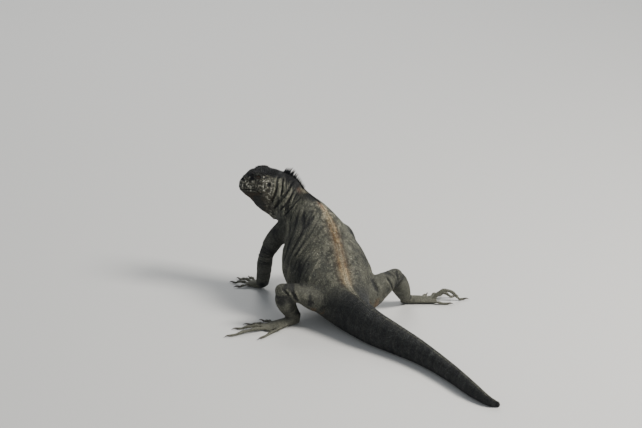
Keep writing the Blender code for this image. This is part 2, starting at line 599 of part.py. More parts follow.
def eye_opening(side, across, steps=7):
    """The almond-shaped window between the lids, from inside the eye outwards."""
    half, high, low = ALMOND
    tilt = math.radians(ALMOND_TILT)
    rim = [(-half + 2 * half * i / steps, 1) for i in range(steps)]
    rim += [(half - 2 * half * i / steps, -1) for i in range(steps)]
    rings = []
    for out in (0.0010, 0.0080):
        ring = []
        for a, sign in rim:
            b = (high if sign > 0 else -low) * (1 - (a / half) ** 2)
            along = EYE[0] + a * math.cos(tilt) - b * math.sin(tilt)
            ring.append(on_head(along, side * (across + out), EYE[1] + a * math.sin(tilt) + b * math.cos(tilt)))
        rings.append(ring)
    return add("opening", tube(rings), "head_skin")


def lip(apart, sides=6):
    """A lip's ridge round the snout from one corner of the mouth to the other, above or below the mouth's line."""
    half = []
    for along in (0.0205, 0.0225, 0.0250, 0.0280, 0.0320, 0.0360, 0.0400, 0.0430, 0.0448):
        i = next(i for i in range(len(MOUTH) - 1) if MOUTH[i + 1][0] >= along)
        (start, low), (end, high) = MOUTH[i], MOUTH[i + 1]
        up = low + (high - low) * (along - start) / (end - start) + apart
        half.append((along, head_width(along, up) - LIP_SUNK, up))
    tip = (HEAD_TIP - LIP_SUNK * 1.8, 0.0, half[-1][2])
    path = [on_head(*p) for p in half] + [on_head(*tip)]
    path += [on_head(along, -across, up) for along, across, up in reversed(half)]
    out, rings = facing(HEAD_TURN, HEAD_PITCH)[2], []
    for i, centre in enumerate(path):
        ahead = (path[min(i + 1, len(path) - 1)] - path[max(i - 1, 0)]).normalized()
        aside = ahead.cross(out).normalized()
        size = LIP_RADIUS * (0.45 if i in (0, len(path) - 1) else 1.0)
        rings.append([centre + aside * size * math.cos(2 * math.pi * k / sides)
                      + aside.cross(ahead) * size * math.sin(2 * math.pi * k / sides) for k in range(sides)])
    return add("lip", tube(rings), "head_skin")


def mouth_groove():
    """What the mouth's line takes out of the head: a thin sheet across it, less the head's own core."""
    rings = []
    for along, up in MOUTH:
        half = MOUTH_WIDE / 2
        rings.append([on_head(along, across, up + high)
                      for across, high in ((-0.03, -half), (0.03, -half), (0.03, half), (-0.03, half))])
    sheet = add("sheet", tube(rings), "head_skin")
    tip = on_head(HEAD_TIP - MOUTH_DEEP, 0, HEAD[-1].mid)
    core = add("core", tube(head_rings(HEAD_SIDES, MOUTH_DEEP), (None, tip)), "head_skin")
    return boolean(sheet, [core], "DIFFERENCE", keep=False)


def tubercles():
    """Blunt cones in staggered rows on the head's top, largest over the snout."""
    chance = random.Random(3)
    pieces = []
    for row in range(TUBERCLE_ROWS):
        along = 0.0045 + TUBERCLE_STEP * row
        top = head_top(along)
        for place in range(-2, 3):
            across = (place + 0.5 * (row % 2)) * TUBERCLE_STEP * 1.05
            if abs(across) > 0.0085 - 0.0015 * (row > 7):
                continue
            up = top - 0.0007 - 18.0 * across ** 2 * (1 + (row > 7))
            height = (0.0014 + 0.0006 * chance.random()) * (0.8 + 0.05 * row)
            out = (on_head(0, across * 60, 1) - on_head(0, 0, 0)).normalized()
            ahead = facing(HEAD_TURN, HEAD_PITCH)[0]
            ahead = (ahead - out * ahead.dot(out)).normalized()
            foot = on_head(along, across, up)
            rings = []
            for high, wide in ((-0.0010, 0.0019), (0.0005 + 0.45 * height, 0.0014), (0.0003 + height, 0.0006)):
                rings.append([foot + out * high + (ahead * math.cos(2 * math.pi * k / 6) + out.cross(ahead)
                              * math.sin(2 * math.pi * k / 6)) * wide for k in range(6)])
            pieces.append(add("piece", tube(rings), "head_skin"))
    return pieces


def main():
    clear_scene()
    nodes = body_nodes()
    crest(nodes)
    head_nodes()
    for side, name in ((LEFT, "left"), (RIGHT, "right")):
        limb_nodes(side, name)
        paw_nodes("foot", side, name)
        paw_nodes("hand", side, name)


main()
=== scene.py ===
import collections
import itertools
import math
import random

import bmesh
import bpy
import numpy as np
from mathutils import Matrix, Vector
from mathutils.bvhtree import BVHTree
from mathutils.kdtree import KDTree


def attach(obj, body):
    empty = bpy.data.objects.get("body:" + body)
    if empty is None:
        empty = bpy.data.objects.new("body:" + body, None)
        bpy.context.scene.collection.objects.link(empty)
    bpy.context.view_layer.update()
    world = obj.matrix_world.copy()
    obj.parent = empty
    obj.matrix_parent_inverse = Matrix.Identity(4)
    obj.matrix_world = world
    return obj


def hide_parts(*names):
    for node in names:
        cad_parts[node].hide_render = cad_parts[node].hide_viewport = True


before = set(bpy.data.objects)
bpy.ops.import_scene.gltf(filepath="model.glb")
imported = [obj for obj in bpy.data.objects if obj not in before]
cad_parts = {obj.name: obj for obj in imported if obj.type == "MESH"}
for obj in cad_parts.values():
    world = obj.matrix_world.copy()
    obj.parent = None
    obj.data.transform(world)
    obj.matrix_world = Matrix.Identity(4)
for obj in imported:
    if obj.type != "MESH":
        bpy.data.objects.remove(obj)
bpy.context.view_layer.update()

COAT_DEPTH = 0.0004  # how far the skin lies inside the solids
VOXEL = 0.00115
SEED = 11

# Sizes of the body, as in the solids
Station = collections.namedtuple("Station", "x y z turn pitch roll across above below peak square")
BODY = [
    Station(0.0535, -0.2395, 0.0028, 42, 0, 0, 0.0016, 0.0032, 0.0030, 2.0, 2.0),
    Station(0.0465, -0.2315, 0.0048, 24, 0, 0, 0.0034, 0.0057, 0.0053, 2.0, 2.0),
    Station(0.0412, -0.2060, 0.0076, 8, 0, 0, 0.0052, 0.0089, 0.0083, 2.0, 2.0),
    Station(0.0385, -0.1710, 0.0090, 5, 0, 0, 0.0065, 0.0105, 0.0097, 2.0, 2.0),
    Station(0.0345, -0.1370, 0.0102, 9, 0, 0, 0.0078, 0.0120, 0.0111, 2.0, 2.0),
    Station(0.0275, -0.1060, 0.0123, 16, 0, 0, 0.0094, 0.0145, 0.0134, 2.0, 2.0),
    Station(0.0170, -0.0760, 0.0150, 19, 0, 0, 0.0112, 0.0175, 0.0163, 2.0, 2.0),
    Station(0.0070, -0.0480, 0.0174, 15, 0, 0, 0.0136, 0.0204, 0.0189, 2.0, 2.0),
    Station(0.0014, -0.0220, 0.0198, 7, 8, 0, 0.0160, 0.0232, 0.0215, 2.0, 2.0),
    Station(0.0000, 0.0098, 0.0281, 0, 25, 0, 0.0275, 0.0220, 0.0310, 2.0, 2.2),
    Station(-0.0010, 0.0326, 0.0408, 0, 40, 2, 0.0430, 0.0290, 0.0400, 2.0, 2.3),
    Station(-0.0035, 0.0552, 0.0548, 0, 45, 5, 0.0450, 0.0400, 0.0420, 1.9, 2.3),
    Station(-0.0057, 0.0701, 0.0713, 0, 43, 8, 0.0380, 0.0410, 0.0380, 1.8, 2.2),
    Station(-0.0058, 0.0795, 0.0811, 0, 35, 9, 0.0310, 0.0370, 0.0370, 1.7, 2.1),
    Station(-0.0069, 0.0900, 0.0872, 3, 26, 9, 0.0265, 0.0330, 0.0360, 1.6, 2.0),
    Station(-0.0092, 0.1021, 0.0925, 10, 20, 7, 0.0218, 0.0290, 0.0350, 1.5, 2.0),
    Station(-0.0127, 0.1117, 0.0992, 24, 20, 5, 0.0190, 0.0260, 0.0340, 1.5, 1.8),
    Station(-0.0165, 0.1146, 0.1074, 38, 19, 3, 0.0172, 0.0250, 0.0340, 1.5, 1.7),
    Station(-0.0197, 0.1212, 0.1152, 49, 15, 0, 0.0162, 0.0215, 0.0350, 1.6, 1.6),
    Station(-0.0242, 0.1277, 0.1173, 56, 11, 0, 0.0162, 0.0200, 0.0365, 2.0, 1.5),
]
TAIL_ROOT, SHOULDERS, NAPE = 8.3, 15.2, 19.0
LEFT, RIGHT = -1, 1
SIDES = {LEFT: "left", RIGHT: "right"}

Ring = collections.namedtuple("Ring", "x y z flat deep")
THIGH = {
    LEFT: [Ring(-0.008, 0.0180, 0.0280, 0.0150, 0.0150), Ring(-0.026, 0.0200, 0.0305, 0.0150, 0.0152),
           Ring(-0.047, 0.0240, 0.0395, 0.0102, 0.0102), Ring(-0.064, 0.0285, 0.0448, 0.0075, 0.0075)],
    RIGHT: [Ring(0.008, 0.0180, 0.0260, 0.0140, 0.0150), Ring(0.030, 0.0190, 0.0260, 0.0150, 0.0170),
            Ring(0.048, 0.0210, 0.0335, 0.0120, 0.0135), Ring(0.064, 0.0240, 0.0405, 0.0085, 0.0085)],
}
SHANK = {
    LEFT: [Ring(-0.0650, 0.0285, 0.0440, 0.0075, 0.0080), Ring(-0.0605, 0.0300, 0.0310, 0.0098, 0.0105),
           Ring(-0.0545, 0.0320, 0.0190, 0.0085, 0.0090), Ring(-0.0480, 0.0335, 0.0090, 0.0065, 0.0075)],
    RIGHT: [Ring(0.0655, 0.0245, 0.0405, 0.0082, 0.0088), Ring(0.0715, 0.0270, 0.0285, 0.0098, 0.0105),
            Ring(0.0775, 0.0305, 0.0175, 0.0082, 0.0088), Ring(0.0825, 0.0340, 0.0085, 0.0062, 0.0070)],
}
UPPER_ARM = {
    LEFT: [Ring(-0.014, 0.1010, 0.0870, 0.0135, 0.0135), Ring(-0.028, 0.1050, 0.0790, 0.0118, 0.0118),
           Ring(-0.039, 0.1100, 0.0655, 0.0100, 0.0104), Ring(-0.046, 0.1140, 0.0500, 0.0088, 0.0092)],
    RIGHT: [Ring(0.014, 0.0980, 0.0780, 0.0120, 0.0120), Ring(0.030, 0.1010, 0.0700, 0.0110, 0.0115),
            Ring(0.043, 0.1050, 0.0620, 0.0088, 0.0095), Ring(0.0505, 0.1080, 0.0500, 0.0080, 0.0086)],
}
FOREARM = {
    LEFT: [Ring(-0.0463, 0.1143, 0.0495, 0.0086, 0.0092), Ring(-0.0452, 0.1205, 0.0370, 0.0084, 0.0090),
           Ring(-0.0435, 0.1280, 0.0220, 0.0074, 0.0082), Ring(-0.0420, 0.1350, 0.0090, 0.0068, 0.0075)],
    RIGHT: [Ring(0.0508, 0.1083, 0.0495, 0.0080, 0.0086), Ring(0.0515, 0.1150, 0.0380, 0.0078, 0.0084),
            Ring(0.0505, 0.1230, 0.0230, 0.0068, 0.0074), Ring(0.0490, 0.1310, 0.0090, 0.0060, 0.0070)],
}

HEAD_AT, HEAD_TURN, HEAD_PITCH = (-0.0227, 0.1267, 0.1267), 56, -4
HeadRing = collections.namedtuple("HeadRing", "along lean mid across above below peak square")
HEAD = [
    HeadRing(0.0000, 0.262, -0.0093, 0.0162, 0.0193, 0.0353, 2.0, 1.5),
    HeadRing(0.0070, 0.210, -0.0072, 0.0172, 0.0186, 0.0330, 2.1, 1.5),
    HeadRing(0.0140, 0.150, -0.0055, 0.0174, 0.0182, 0.0310, 2.3, 1.6),
    HeadRing(0.0210, 0.100, -0.0045, 0.0164, 0.0176, 0.0283, 2.5, 1.7),
    HeadRing(0.0280, 0.050, -0.0040, 0.0148, 0.0168, 0.0232, 2.5, 1.8),
    HeadRing(0.0340, 0.010, -0.0037, 0.0128, 0.0152, 0.0164, 2.4, 1.9),
    HeadRing(0.0390, 0.000, -0.0036, 0.0108, 0.0113, 0.0124, 2.3, 2.0),
    HeadRing(0.0430, 0.000, -0.0035, 0.0085, 0.0072, 0.0085, 2.2, 2.0),
    HeadRing(0.0455, 0.000, -0.0035, 0.0056, 0.0042, 0.0050, 2.0, 2.0),
]
HEAD_TIP = 0.0466
EYE, EYE_ACROSS, EYE_RADIUS = (0.0218, 0.0090), 0.0104, 0.0036
LID = (0.0048, 0.0045, 0.0048)
EYE_REACH = 0.0075  # the skin within this of an eye's middle is shaped into lids
LIDS_REACH = 0.0062  # the skin within this of an eye has the finest mesh
RIM_SNAP = 0.00017  # points nearer to the lids' rim than this go onto it
ALMOND, ALMOND_TILT = (0.0031, 0.0019, 0.0016), math.radians(8)  # half width, heights above and below, tilt
MOUTH = [(0.0205, -0.0088), (0.0235, -0.0064), (0.0270, -0.0050), (0.0330, -0.0048), (0.0400, -0.0056),
         (0.0450, -0.0064), (0.0500, -0.0068)]
SWELLINGS = {
    "brow": (0.0218, 0.0096, 0.0116, 0.0080, 0.0036, 0.0022),
    "jowl": (0.0146, 0.0076, -0.0110, 0.0098, 0.0096, 0.0130),
    "nostril": (0.0388, 0.0046, 0.0036, 0.0046, 0.0026, 0.0022),
    "lids": (EYE[0], EYE_ACROSS, EYE[1], *LID),
}
NOSTRIL_PIT = (0.0407, 0.0063, 0.0049, 0.0012)
EAR = (0.0105, 0.0010, 0.0028, 0.0007)

Sole = collections.namedtuple("Sole", "x y turn length width thick")
FOOT = {
    LEFT: Sole(-0.0475, 0.0335, 92, 0.036, 0.0092, 0.0088),
    RIGHT: Sole(0.0830, 0.0370, 107, 0.033, 0.0088, 0.0088),
}
HAND = {
    LEFT: Sole(-0.0420, 0.1385, 24, 0.017, 0.0088, 0.0080),
    RIGHT: Sole(0.0490, 0.1345, 22, 0.017, 0.0088, 0.0080),
}
SOLE_RINGS = [(-0.16, 0.30, 0.45), (-0.10, 0.52, 0.75), (0.05, 0.66, 1.05), (0.30, 0.78, 0.95),
              (0.60, 0.95, 0.78), (0.85, 1.00, 0.62), (1.00, 0.86, 0.48), (1.06, 0.55, 0.30)]
Digit = collections.namedtuple("Digit", "along side splay length radius")
TOES = {
    LEFT: [Digit(0.62, -0.0065, -66, 0.0140, 0.0024), Digit(0.86, -0.0055, -38, 0.0190, 0.0025),
           Digit(0.92, -0.0020, -20, 0.0300, 0.0026), Digit(0.90, 0.0020, -1, 0.0440, 0.0027),
           Digit(0.36, 0.0062, 22, 0.0380, 0.0026)],
    RIGHT: [Digit(0.62, -0.0060, -62, 0.0130, 0.0024), Digit(0.86, -0.0050, -36, 0.0180, 0.0025),
            Digit(0.92, -0.0020, -17, 0.0260, 0.0026), Digit(0.90, 0.0020, -4, 0.0350, 0.0027),
            Digit(0.40, 0.0050, 9, 0.0330, 0.0026)],
}
FINGERS = [Digit(0.60, -0.0062, -50, 0.0110, 0.0022), Digit(0.85, -0.0045, -26, 0.0160, 0.0023),
           Digit(0.90, 0.0000, -4, 0.0190, 0.0024), Digit(0.85, 0.0045, 18, 0.0185, 0.0023),
           Digit(0.62, 0.0064, 44, 0.0130, 0.0022)]
TOE_ARCH = {LEFT: (0.0012, 0.0012, 0.0014, 0.0012, 0.0008), RIGHT: (0.0012, 0.0030, 0.0060, 0.0110, 0.0008)}
FINGER_ARCH = (0.0010, 0.0020, 0.0024, 0.0020, 0.0010)
DIGIT_TAPER = 0.62
CLAW_LENGTH = {"foot": 0.0068, "hand": 0.0058}
CLAW_RADIUS = 0.0013
CLAW_CLEARANCE = 0.0004

# The crest: the range of places on BODY, the number of spines, and the heights at the range's two ends
CREST = [(18.80, 15.9, 15, 0.0090, 0.0070), (15.9, 15.35, 6, 0.0016, 0.0020),
         (15.1, 13.9, 14, 0.0022, 0.0019), (13.85, 8.45, 62, 0.0018, 0.0016),
         (8.3, 5.7, 34, 0.0016, 0.0015), (5.7, 3.05, 36, 0.0015, 0.0013), (3.05, 0.7, 28, 0.0013, 0.0009)]
TALL_SPINE = 0.003  # the least height of the nape's tall spines
SPINE_SHARES = (-0.30, 0.0, 0.25, 0.5, 0.72, 0.88, 0.97)  # where a spine's rings lie on its height
SPINE_SIDES = 8

# Colours, linear
INK = (0.008, 0.009, 0.012)
SLATE = (0.033, 0.036, 0.037)
OLIVE = (0.086, 0.087, 0.068)
GREY = (0.118, 0.119, 0.097)
PALE = (0.270, 0.266, 0.205)
CREAM = (0.500, 0.440, 0.310)
SALT = (0.600, 0.585, 0.500)
RUST = (0.175, 0.086, 0.028)
TAN = (0.430, 0.305, 0.145)
SALMON = (0.560, 0.250, 0.150)
HORN = (0.030, 0.027, 0.024)
HORN_PALE = (0.110, 0.095, 0.075)
DARKEST, LIGHTEST = 0.004, 0.85


def rows_at(rows, t):
    """The numbers of a list of rows at places t, on a smooth curve through them all."""
    table = np.array(rows, float)
    last = len(table) - 1
    t = np.atleast_1d(np.asarray(t, float))
    i = np.clip(t.astype(int), 0, last - 1)
    f = (t - i)[:, None]
    p1, p2 = table[i], table[i + 1]
    p0 = np.where((i > 0)[:, None], table[np.maximum(i - 1, 0)], 2 * p1 - p2)
    p3 = np.where((i + 2 <= last)[:, None], table[np.minimum(i + 2, last)], 2 * p2 - p1)
    return 0.5 * (2 * p1 + (p2 - p0) * f + (2 * p0 - 5 * p1 + 4 * p2 - p3) * f ** 2
                  + (3 * p1 - p0 - 3 * p2 + p3) * f ** 3)


def unit(vectors):
    return vectors / np.maximum(np.linalg.norm(vectors, axis=-1, keepdims=True), 1e-12)


def facing(turn, pitch=0.0, roll=0.0):
    """The forward, right and up directions after a turn left from +Y, a pitch up and a roll to the right."""
    turn, pitch, roll = (np.radians(np.asarray(x, float)) for x in (turn, pitch, roll))
    turn, pitch, roll = np.broadcast_arrays(turn, pitch, roll)
    forward = np.stack([-np.sin(turn) * np.cos(pitch), np.cos(turn) * np.cos(pitch), np.sin(pitch)], -1)
    level = np.stack([np.cos(turn), np.sin(turn), np.zeros_like(turn)], -1)
    right = level * np.cos(roll)[..., None] - np.cross(level, forward) * np.sin(roll)[..., None]
    return forward, right, np.cross(right, forward)


def smoothstep(low, high, x):
    x = np.clip((x - low) / (high - low), 0, 1)
    return x * x * (3 - 2 * x)


def between(x, start, full, fade, end):
    """Rises from 0 to 1 over start to full and falls back over fade to end."""
    return smoothstep(start, full, x) * (1 - smoothstep(fade, end, x))


def bump(x, width):
    return np.exp(-(x / width) ** 2)


def noise(points, cell, seed=0.0):
    """Smooth noise from -1 to 1 at points, with features a cell across."""
    q = np.asarray(points) / cell
    base = np.floor(q)
    part = q - base
    part = part * part * (3 - 2 * part)
    total = 0.0
    for corner in itertools.product((0, 1), repeat=3):
        value = np.sin((base + corner) @ (127.1, 311.7, 74.7) + seed) * 43758.5453
        weight = np.prod(np.where(np.array(corner, bool), part, 1 - part), axis=1)
        total = total + weight * (value - np.floor(value))
    return 2 * total - 1


def mix(a, b, share):
    share = np.asarray(share)[..., None]
    return np.asarray(a) * (1 - share) + np.asarray(b) * share


# Lofts: each stretch of the body as rings of points from its root or tail end, with its place on the skin's
# unwrap
Loft = collections.namedtuple("Loft", "name kind rings t run ends chart backward")
ROUND = 96  # points in a ring
TRUNK_STEPS, HEAD_STEPS, LIMB_STEPS, SOLE_STEPS, DIGIT_STEPS = 340, 64, 40, 30, 40
LEGS, ARMS, PAWS = ("thigh", "shank"), ("upper_arm", "forearm"), ("sole", "digit")


def ring_angles(count):
    return 2 * np.pi * np.arange(count) / count


def off_floor(points, least=COAT_DEPTH):
    """The points with none of them lower than least."""
    points[..., 2] = np.maximum(points[..., 2], least)
    return points


def loft(name, kind, rings, t, ends, chart, backward=False):
    centres = rings.mean(1)
    run = np.concatenate([[0], np.cumsum(np.linalg.norm(np.diff(centres, axis=0), axis=1))])
    return Loft(name, kind, rings, t, run, ends, chart, backward)


def outline(across, above, below, peak, square):
    """Points round body or head rings, as how far to the right and how far up from each centre."""
    angle = ring_angles(ROUND)
    sine, cosine = np.sin(angle)[None], np.cos(angle)[None]
    upper = cosine > 0
    high = np.where(upper, above[:, None], below[:, None]) - COAT_DEPTH
    power = 2 / np.where(upper, peak[:, None], square[:, None])
    x = (across[:, None] - COAT_DEPTH) * np.sign(sine) * np.abs(sine) ** power
    return x, high * np.sign(cosine) * np.abs(cosine) ** power


def body_rings(t):
    s = rows_at(BODY, t)
    _, right, up = facing(s[:, 3], s[:, 4], s[:, 5])
    x, z = outline(*s[:, 6:].T)
    return off_floor(s[:, None, :3] + right[:, None] * x[..., None] + up[:, None] * z[..., None])


def trunk_loft():
    t = np.linspace(0, NAPE, TRUNK_STEPS)
    rings = body_rings(t)
    s = rows_at(BODY, [0.0, NAPE])
    forward = facing(s[:, 3], s[:, 4])[0]
    tip = s[0, :3] - forward[0] * 0.0010
    return loft("trunk", "trunk", rings, t, (tip, s[1, :3]), (0.01, 0.01, 0.99, 0.40), True)


def on_head(along, across, up):
    forward, right, high = facing(HEAD_TURN, HEAD_PITCH)
    along, across, up = (np.asarray(v, float)[..., None] for v in (along, across, up))
    return np.array(HEAD_AT) + forward * along + right * across + high * up


def head_coordinates(points):
    """How far along the head, out to its right and up from its axis each point is."""
    q = points - np.array(HEAD_AT)
    return tuple(q @ axis for axis in facing(HEAD_TURN, HEAD_PITCH))


def from_spot(along, up, at):
    """How far each point lies from a place on the head's side."""
    return np.hypot(along - at[0], up - at[1])


def about_head(points, start, lean=0.0):
    """Which points lie on the head in front of start."""
    along, across, up = head_coordinates(points)
    return (along > start - lean * up) & (along < 0.06) & (np.abs(across) < 0.03) & (up > -0.05)


def head_loft():
    t = np.linspace(0, len(HEAD) - 1, HEAD_STEPS)
    h = rows_at(HEAD, t)
    x, z = outline(*h[:, 3:].T)
    z = z + h[:, 2:3]
    rings = on_head(h[:, :1] - h[:, 1:2] * z, x, z)
    nape = body_rings([NAPE - 0.25, NAPE])
    share = smoothstep(0, 5, np.arange(len(t)))[:, None, None]
    rings = nape[1] * (1 - share) + rings * share
    rings = np.concatenate([nape[:1], rings])
    t = np.concatenate([[-0.4], t])
    ends = (nape[0].mean(0), on_head(HEAD_TIP - COAT_DEPTH, 0, HEAD[-1].mid))
    return loft("head", "head", rings, t, ends, (0.01, 0.43, 0.30, 0.72), True)


END_TURNS = (78, 60, 42, 24, 8)  # degrees from a limb's straight part to each ring of its rounded end


def limb_rings(rows):
    """A limb segment's rings with rounded ends, the place of each, and the segment's two ends."""
    last, steps = len(rows) - 1, LIMB_STEPS
    turns = np.radians(END_TURNS)
    more = len(END_TURNS)
    t = np.concatenate([np.zeros(more), np.linspace(0, last, steps), np.full(more, last)])
    out = np.concatenate([-np.sin(turns), np.zeros(steps), np.sin(turns[::-1])])
    wide = np.concatenate([np.cos(turns), np.ones(steps), np.cos(turns[::-1])])
    row = rows_at(rows, t)
    ahead, behind = rows_at(rows, np.minimum(t + 0.05, last)), rows_at(rows, np.maximum(t - 0.05, 0))
    along = unit(ahead[:, :3] - behind[:, :3])
    a = unit(np.array((0, 1, 0)) - along * along[:, 1:2])
    b = np.cross(along, a)
    radius = 0.5 * (row[:, 3] + row[:, 4]) - COAT_DEPTH
    centre = row[:, :3] + along * (out * radius)[:, None]
    angle = ring_angles(ROUND)
    flat = ((row[:, 3] - COAT_DEPTH) * wide)[:, None, None]
    deep = ((row[:, 4] - COAT_DEPTH) * wide)[:, None, None]
    points = centre[:, None] + a[:, None] * flat * np.cos(angle)[None, :, None]
    points = off_floor(points + b[:, None] * deep * np.sin(angle)[None, :, None])
    ends = [centre[i] + along[i] * radius[i] * 0.02 * sign for i, sign in ((0, -1), (-1, 1))]
    return points, t + out * 0.2, ends


def sole_loft(kind, side, sole, chart):
    t = np.linspace(0, len(SOLE_RINGS) - 1, SOLE_STEPS)
    share, wide, thick = rows_at(SOLE_RINGS, t).T
    forward, right, up = facing(-side * sole.turn)
    high = sole.thick * thick
    centre = np.array((sole.x, sole.y, 0)) + forward * (sole.length * share)[:, None]
    centre[:, 2] = high * 0.5
    angle = ring_angles(ROUND)
    x = (sole.width * wide - COAT_DEPTH)[:, None] * np.sin(angle)
    z = (high * 0.56 - COAT_DEPTH)[:, None] * np.cos(angle)
    rings = off_floor(centre[:, None] + right * x[..., None] + up * z[..., None])
    return loft(f"{kind}_{SIDES[side]}", "sole", rings, t, (centre[0], centre[-1]), chart)


def digit_path(sole, side, digit, arch, t):
    """Centres and radii of a digit at shares t of its length, humped by arch over the floor."""
    forward, right, _ = facing(-side * sole.turn)
    aim = facing(-side * (sole.turn + digit.splay))[0]
    root = np.array((sole.x, sole.y, 0)) + forward * sole.length * digit.along + right * side * digit.side
    radius = digit.radius * (1 - (1 - DIGIT_TAPER) * t) * (1 + 0.10 * np.cos(3 * 2 * np.pi * t))
    centre = root + aim * (digit.length * t)[:, None]
    centre[:, 2] = radius * 0.92 + arch * np.sin(np.pi * np.minimum(t * 1.15, 1.0)) + 0.0006 * (1 - t)
    return centre, radius


def digit_loft(kind, side, number, sole, digit, arch, chart):
    t = np.linspace(0, 1, DIGIT_STEPS)
    centre, radius = digit_path(sole, side, digit, arch, t)
    right = facing(-side * (sole.turn + digit.splay))[1]
    ahead = unit(np.gradient(centre, axis=0))
    up = np.cross(right, ahead)
    radius = (radius - COAT_DEPTH) * np.sqrt(1 - np.clip((t - 0.93) / 0.075, 0, 1) ** 2)
    angle = ring_angles(ROUND)
    rings = centre[:, None] + (right * np.sin(angle)[:, None])[None] * radius[:, None, None]
    rings = off_floor(rings + up[:, None] * (np.cos(angle)[None] * radius[:, None])[..., None])
    name = f"digit_{kind}_{SIDES[side]}_{number}"
    return loft(name, "digit", rings, t, (centre[0], centre[-1]), chart)


SOLES = {"foot": FOOT, "hand": HAND}


def digits_of(kind, side):
    """The number, form and arch of each digit of a paw."""
    digits, arches = (TOES[side], TOE_ARCH[side]) if kind == "foot" else (FINGERS, FINGER_ARCH)
    return [(number, *pair) for number, pair in enumerate(zip(digits, arches), 1)]


def make_lofts():
    """All stretches of the body."""
    lofts = [trunk_loft(), head_loft()]
    place = 0.32
    limbs = {"thigh": THIGH, "shank": SHANK, "upper_arm": UPPER_ARM, "forearm": FOREARM}
    for side, (name, rows) in itertools.product((LEFT, RIGHT), limbs.items()):
        chart = (place, 0.43, place + 0.075, 0.70)
        lofts.append(loft(f"{name}_{SIDES[side]}", name, *limb_rings(rows[side]), chart))
        place += 0.083
    place = 0.01
    for (kind, soles), side in itertools.product(SOLES.items(), (LEFT, RIGHT)):
        lofts.append(sole_loft(kind, side, soles[side], (place, 0.74, place + 0.055, 0.98)))
        place += 0.062
        for number, digit, arch in digits_of(kind, side):
            chart = (place, 0.74, place + 0.030, 0.98)
            lofts.append(digit_loft(kind, side, number, soles[side], digit, arch, chart))
            place += 0.036
    return lofts


def loft_mesh(lofts):
    """Points and faces of the lofts as closed shells, and each face's loft, row and place round the ring."""
    points, faces, rows = [], [], []
    count = 0
    for number, item in enumerate(lofts):
        high, round_ = item.rings.shape[:2]
        points.append(item.rings.reshape(-1, 3))
        points.append(np.array(item.ends))
        index = count + np.arange(high * round_).reshape(high, round_)
        after = np.roll(index, -1, axis=1)
        faces += np.stack([index[:-1], after[:-1], after[1:], index[1:]], -1).reshape(-1, 4).tolist()
        row, step = np.meshgrid(np.arange(high - 1), np.arange(round_), indexing="ij")
        rows.append(np.stack([np.full(row.size, number), row.ravel(), step.ravel()], 1))
        first, last = count + high * round_, count + high * round_ + 1
        faces += [(a, b, first) for a, b in zip(after[0].tolist(), index[0].tolist())]
        faces += [(a, b, last) for a, b in zip(index[-1].tolist(), after[-1].tolist())]
        for end_row in (0, high - 2):
            rows.append(np.stack([np.full(round_, number), np.full(round_, end_row), np.arange(round_)], 1))
        count += high * round_ + 2
    return np.concatenate(points), faces, np.concatenate(rows)


# Where points lie on the lofts: the loft's number, its place t, the distance run along it, the share of a
# turn round it, from its top by its right, and the radius there
Places = collections.namedtuple("Places", "loft t run angle radius")


def picked(table, chosen):
    """The chosen entries of every column of a table such as places."""
    return type(table)(*(column[chosen] for column in table))


def kinds_of(lofts, numbers):
    return np.array([item.kind for item in lofts])[numbers]


class Chart:
    """Finds places on the lofts."""

    def __init__(self, lofts):
        self.lofts = lofts
        points, faces, self.rows = loft_mesh(lofts)
        self.tree = BVHTree.FromPolygons(points.tolist(), faces)

    def places(self, points):
        found = np.array([self.tree.find_nearest(p)[2] for p in points.tolist()])
        number, row, step = self.rows[found].T
        t, run, angle, radius = (np.zeros(len(points)) for _ in range(4))
        for k, item in enumerate(self.lofts):
            mine = np.flatnonzero(number == k)
            if not len(mine):
                continue
            r, s = row[mine], step[mine]
            round_ = item.rings.shape[1]
            corner = item.rings[r, s]
            along = item.rings[r + 1, s] - corner
            aside = item.rings[r, (s + 1) % round_] - corner
            offset = points[mine] - corner
            f = np.clip((offset * along).sum(1) / np.maximum((along ** 2).sum(1), 1e-12), 0, 1)
            g = np.clip((offset * aside).sum(1) / np.maximum((aside ** 2).sum(1), 1e-12), 0, 1)
            t[mine] = item.t[r] + (item.t[r + 1] - item.t[r]) * f
            run[mine] = item.run[r] + (item.run[r + 1] - item.run[r]) * f
            angle[mine] = ((s + g) / round_) % 1
            radii = np.linalg.norm(item.rings - item.rings.mean(1, keepdims=True), axis=2).mean(1)
            radius[mine] = radii[r]
        return Places(number, t, run, angle, radius)


def unwrapped(lofts, places):
    """Each place's point on the unwrap."""
    charts = np.array([item.chart for item in lofts])[places.loft]
    lengths = np.array([item.run[-1] for item in lofts])[places.loft]
    u = charts[:, 0] + (charts[:, 2] - charts[:, 0]) * np.clip(places.run / lengths, 0, 1)
    v = charts[:, 1] + (charts[:, 3] - charts[:, 1]) * places.angle
    return np.stack([u, v], 1)


# The skin
def linked(name, data):
    made = bpy.data.objects.new(name, data)
    bpy.context.scene.collection.objects.link(made)
    return made


def new_object(name, points, faces):
    data = bpy.data.meshes.new(name)
    data.from_pydata(np.asarray(points).tolist(), [], faces)
    return linked(name, data)


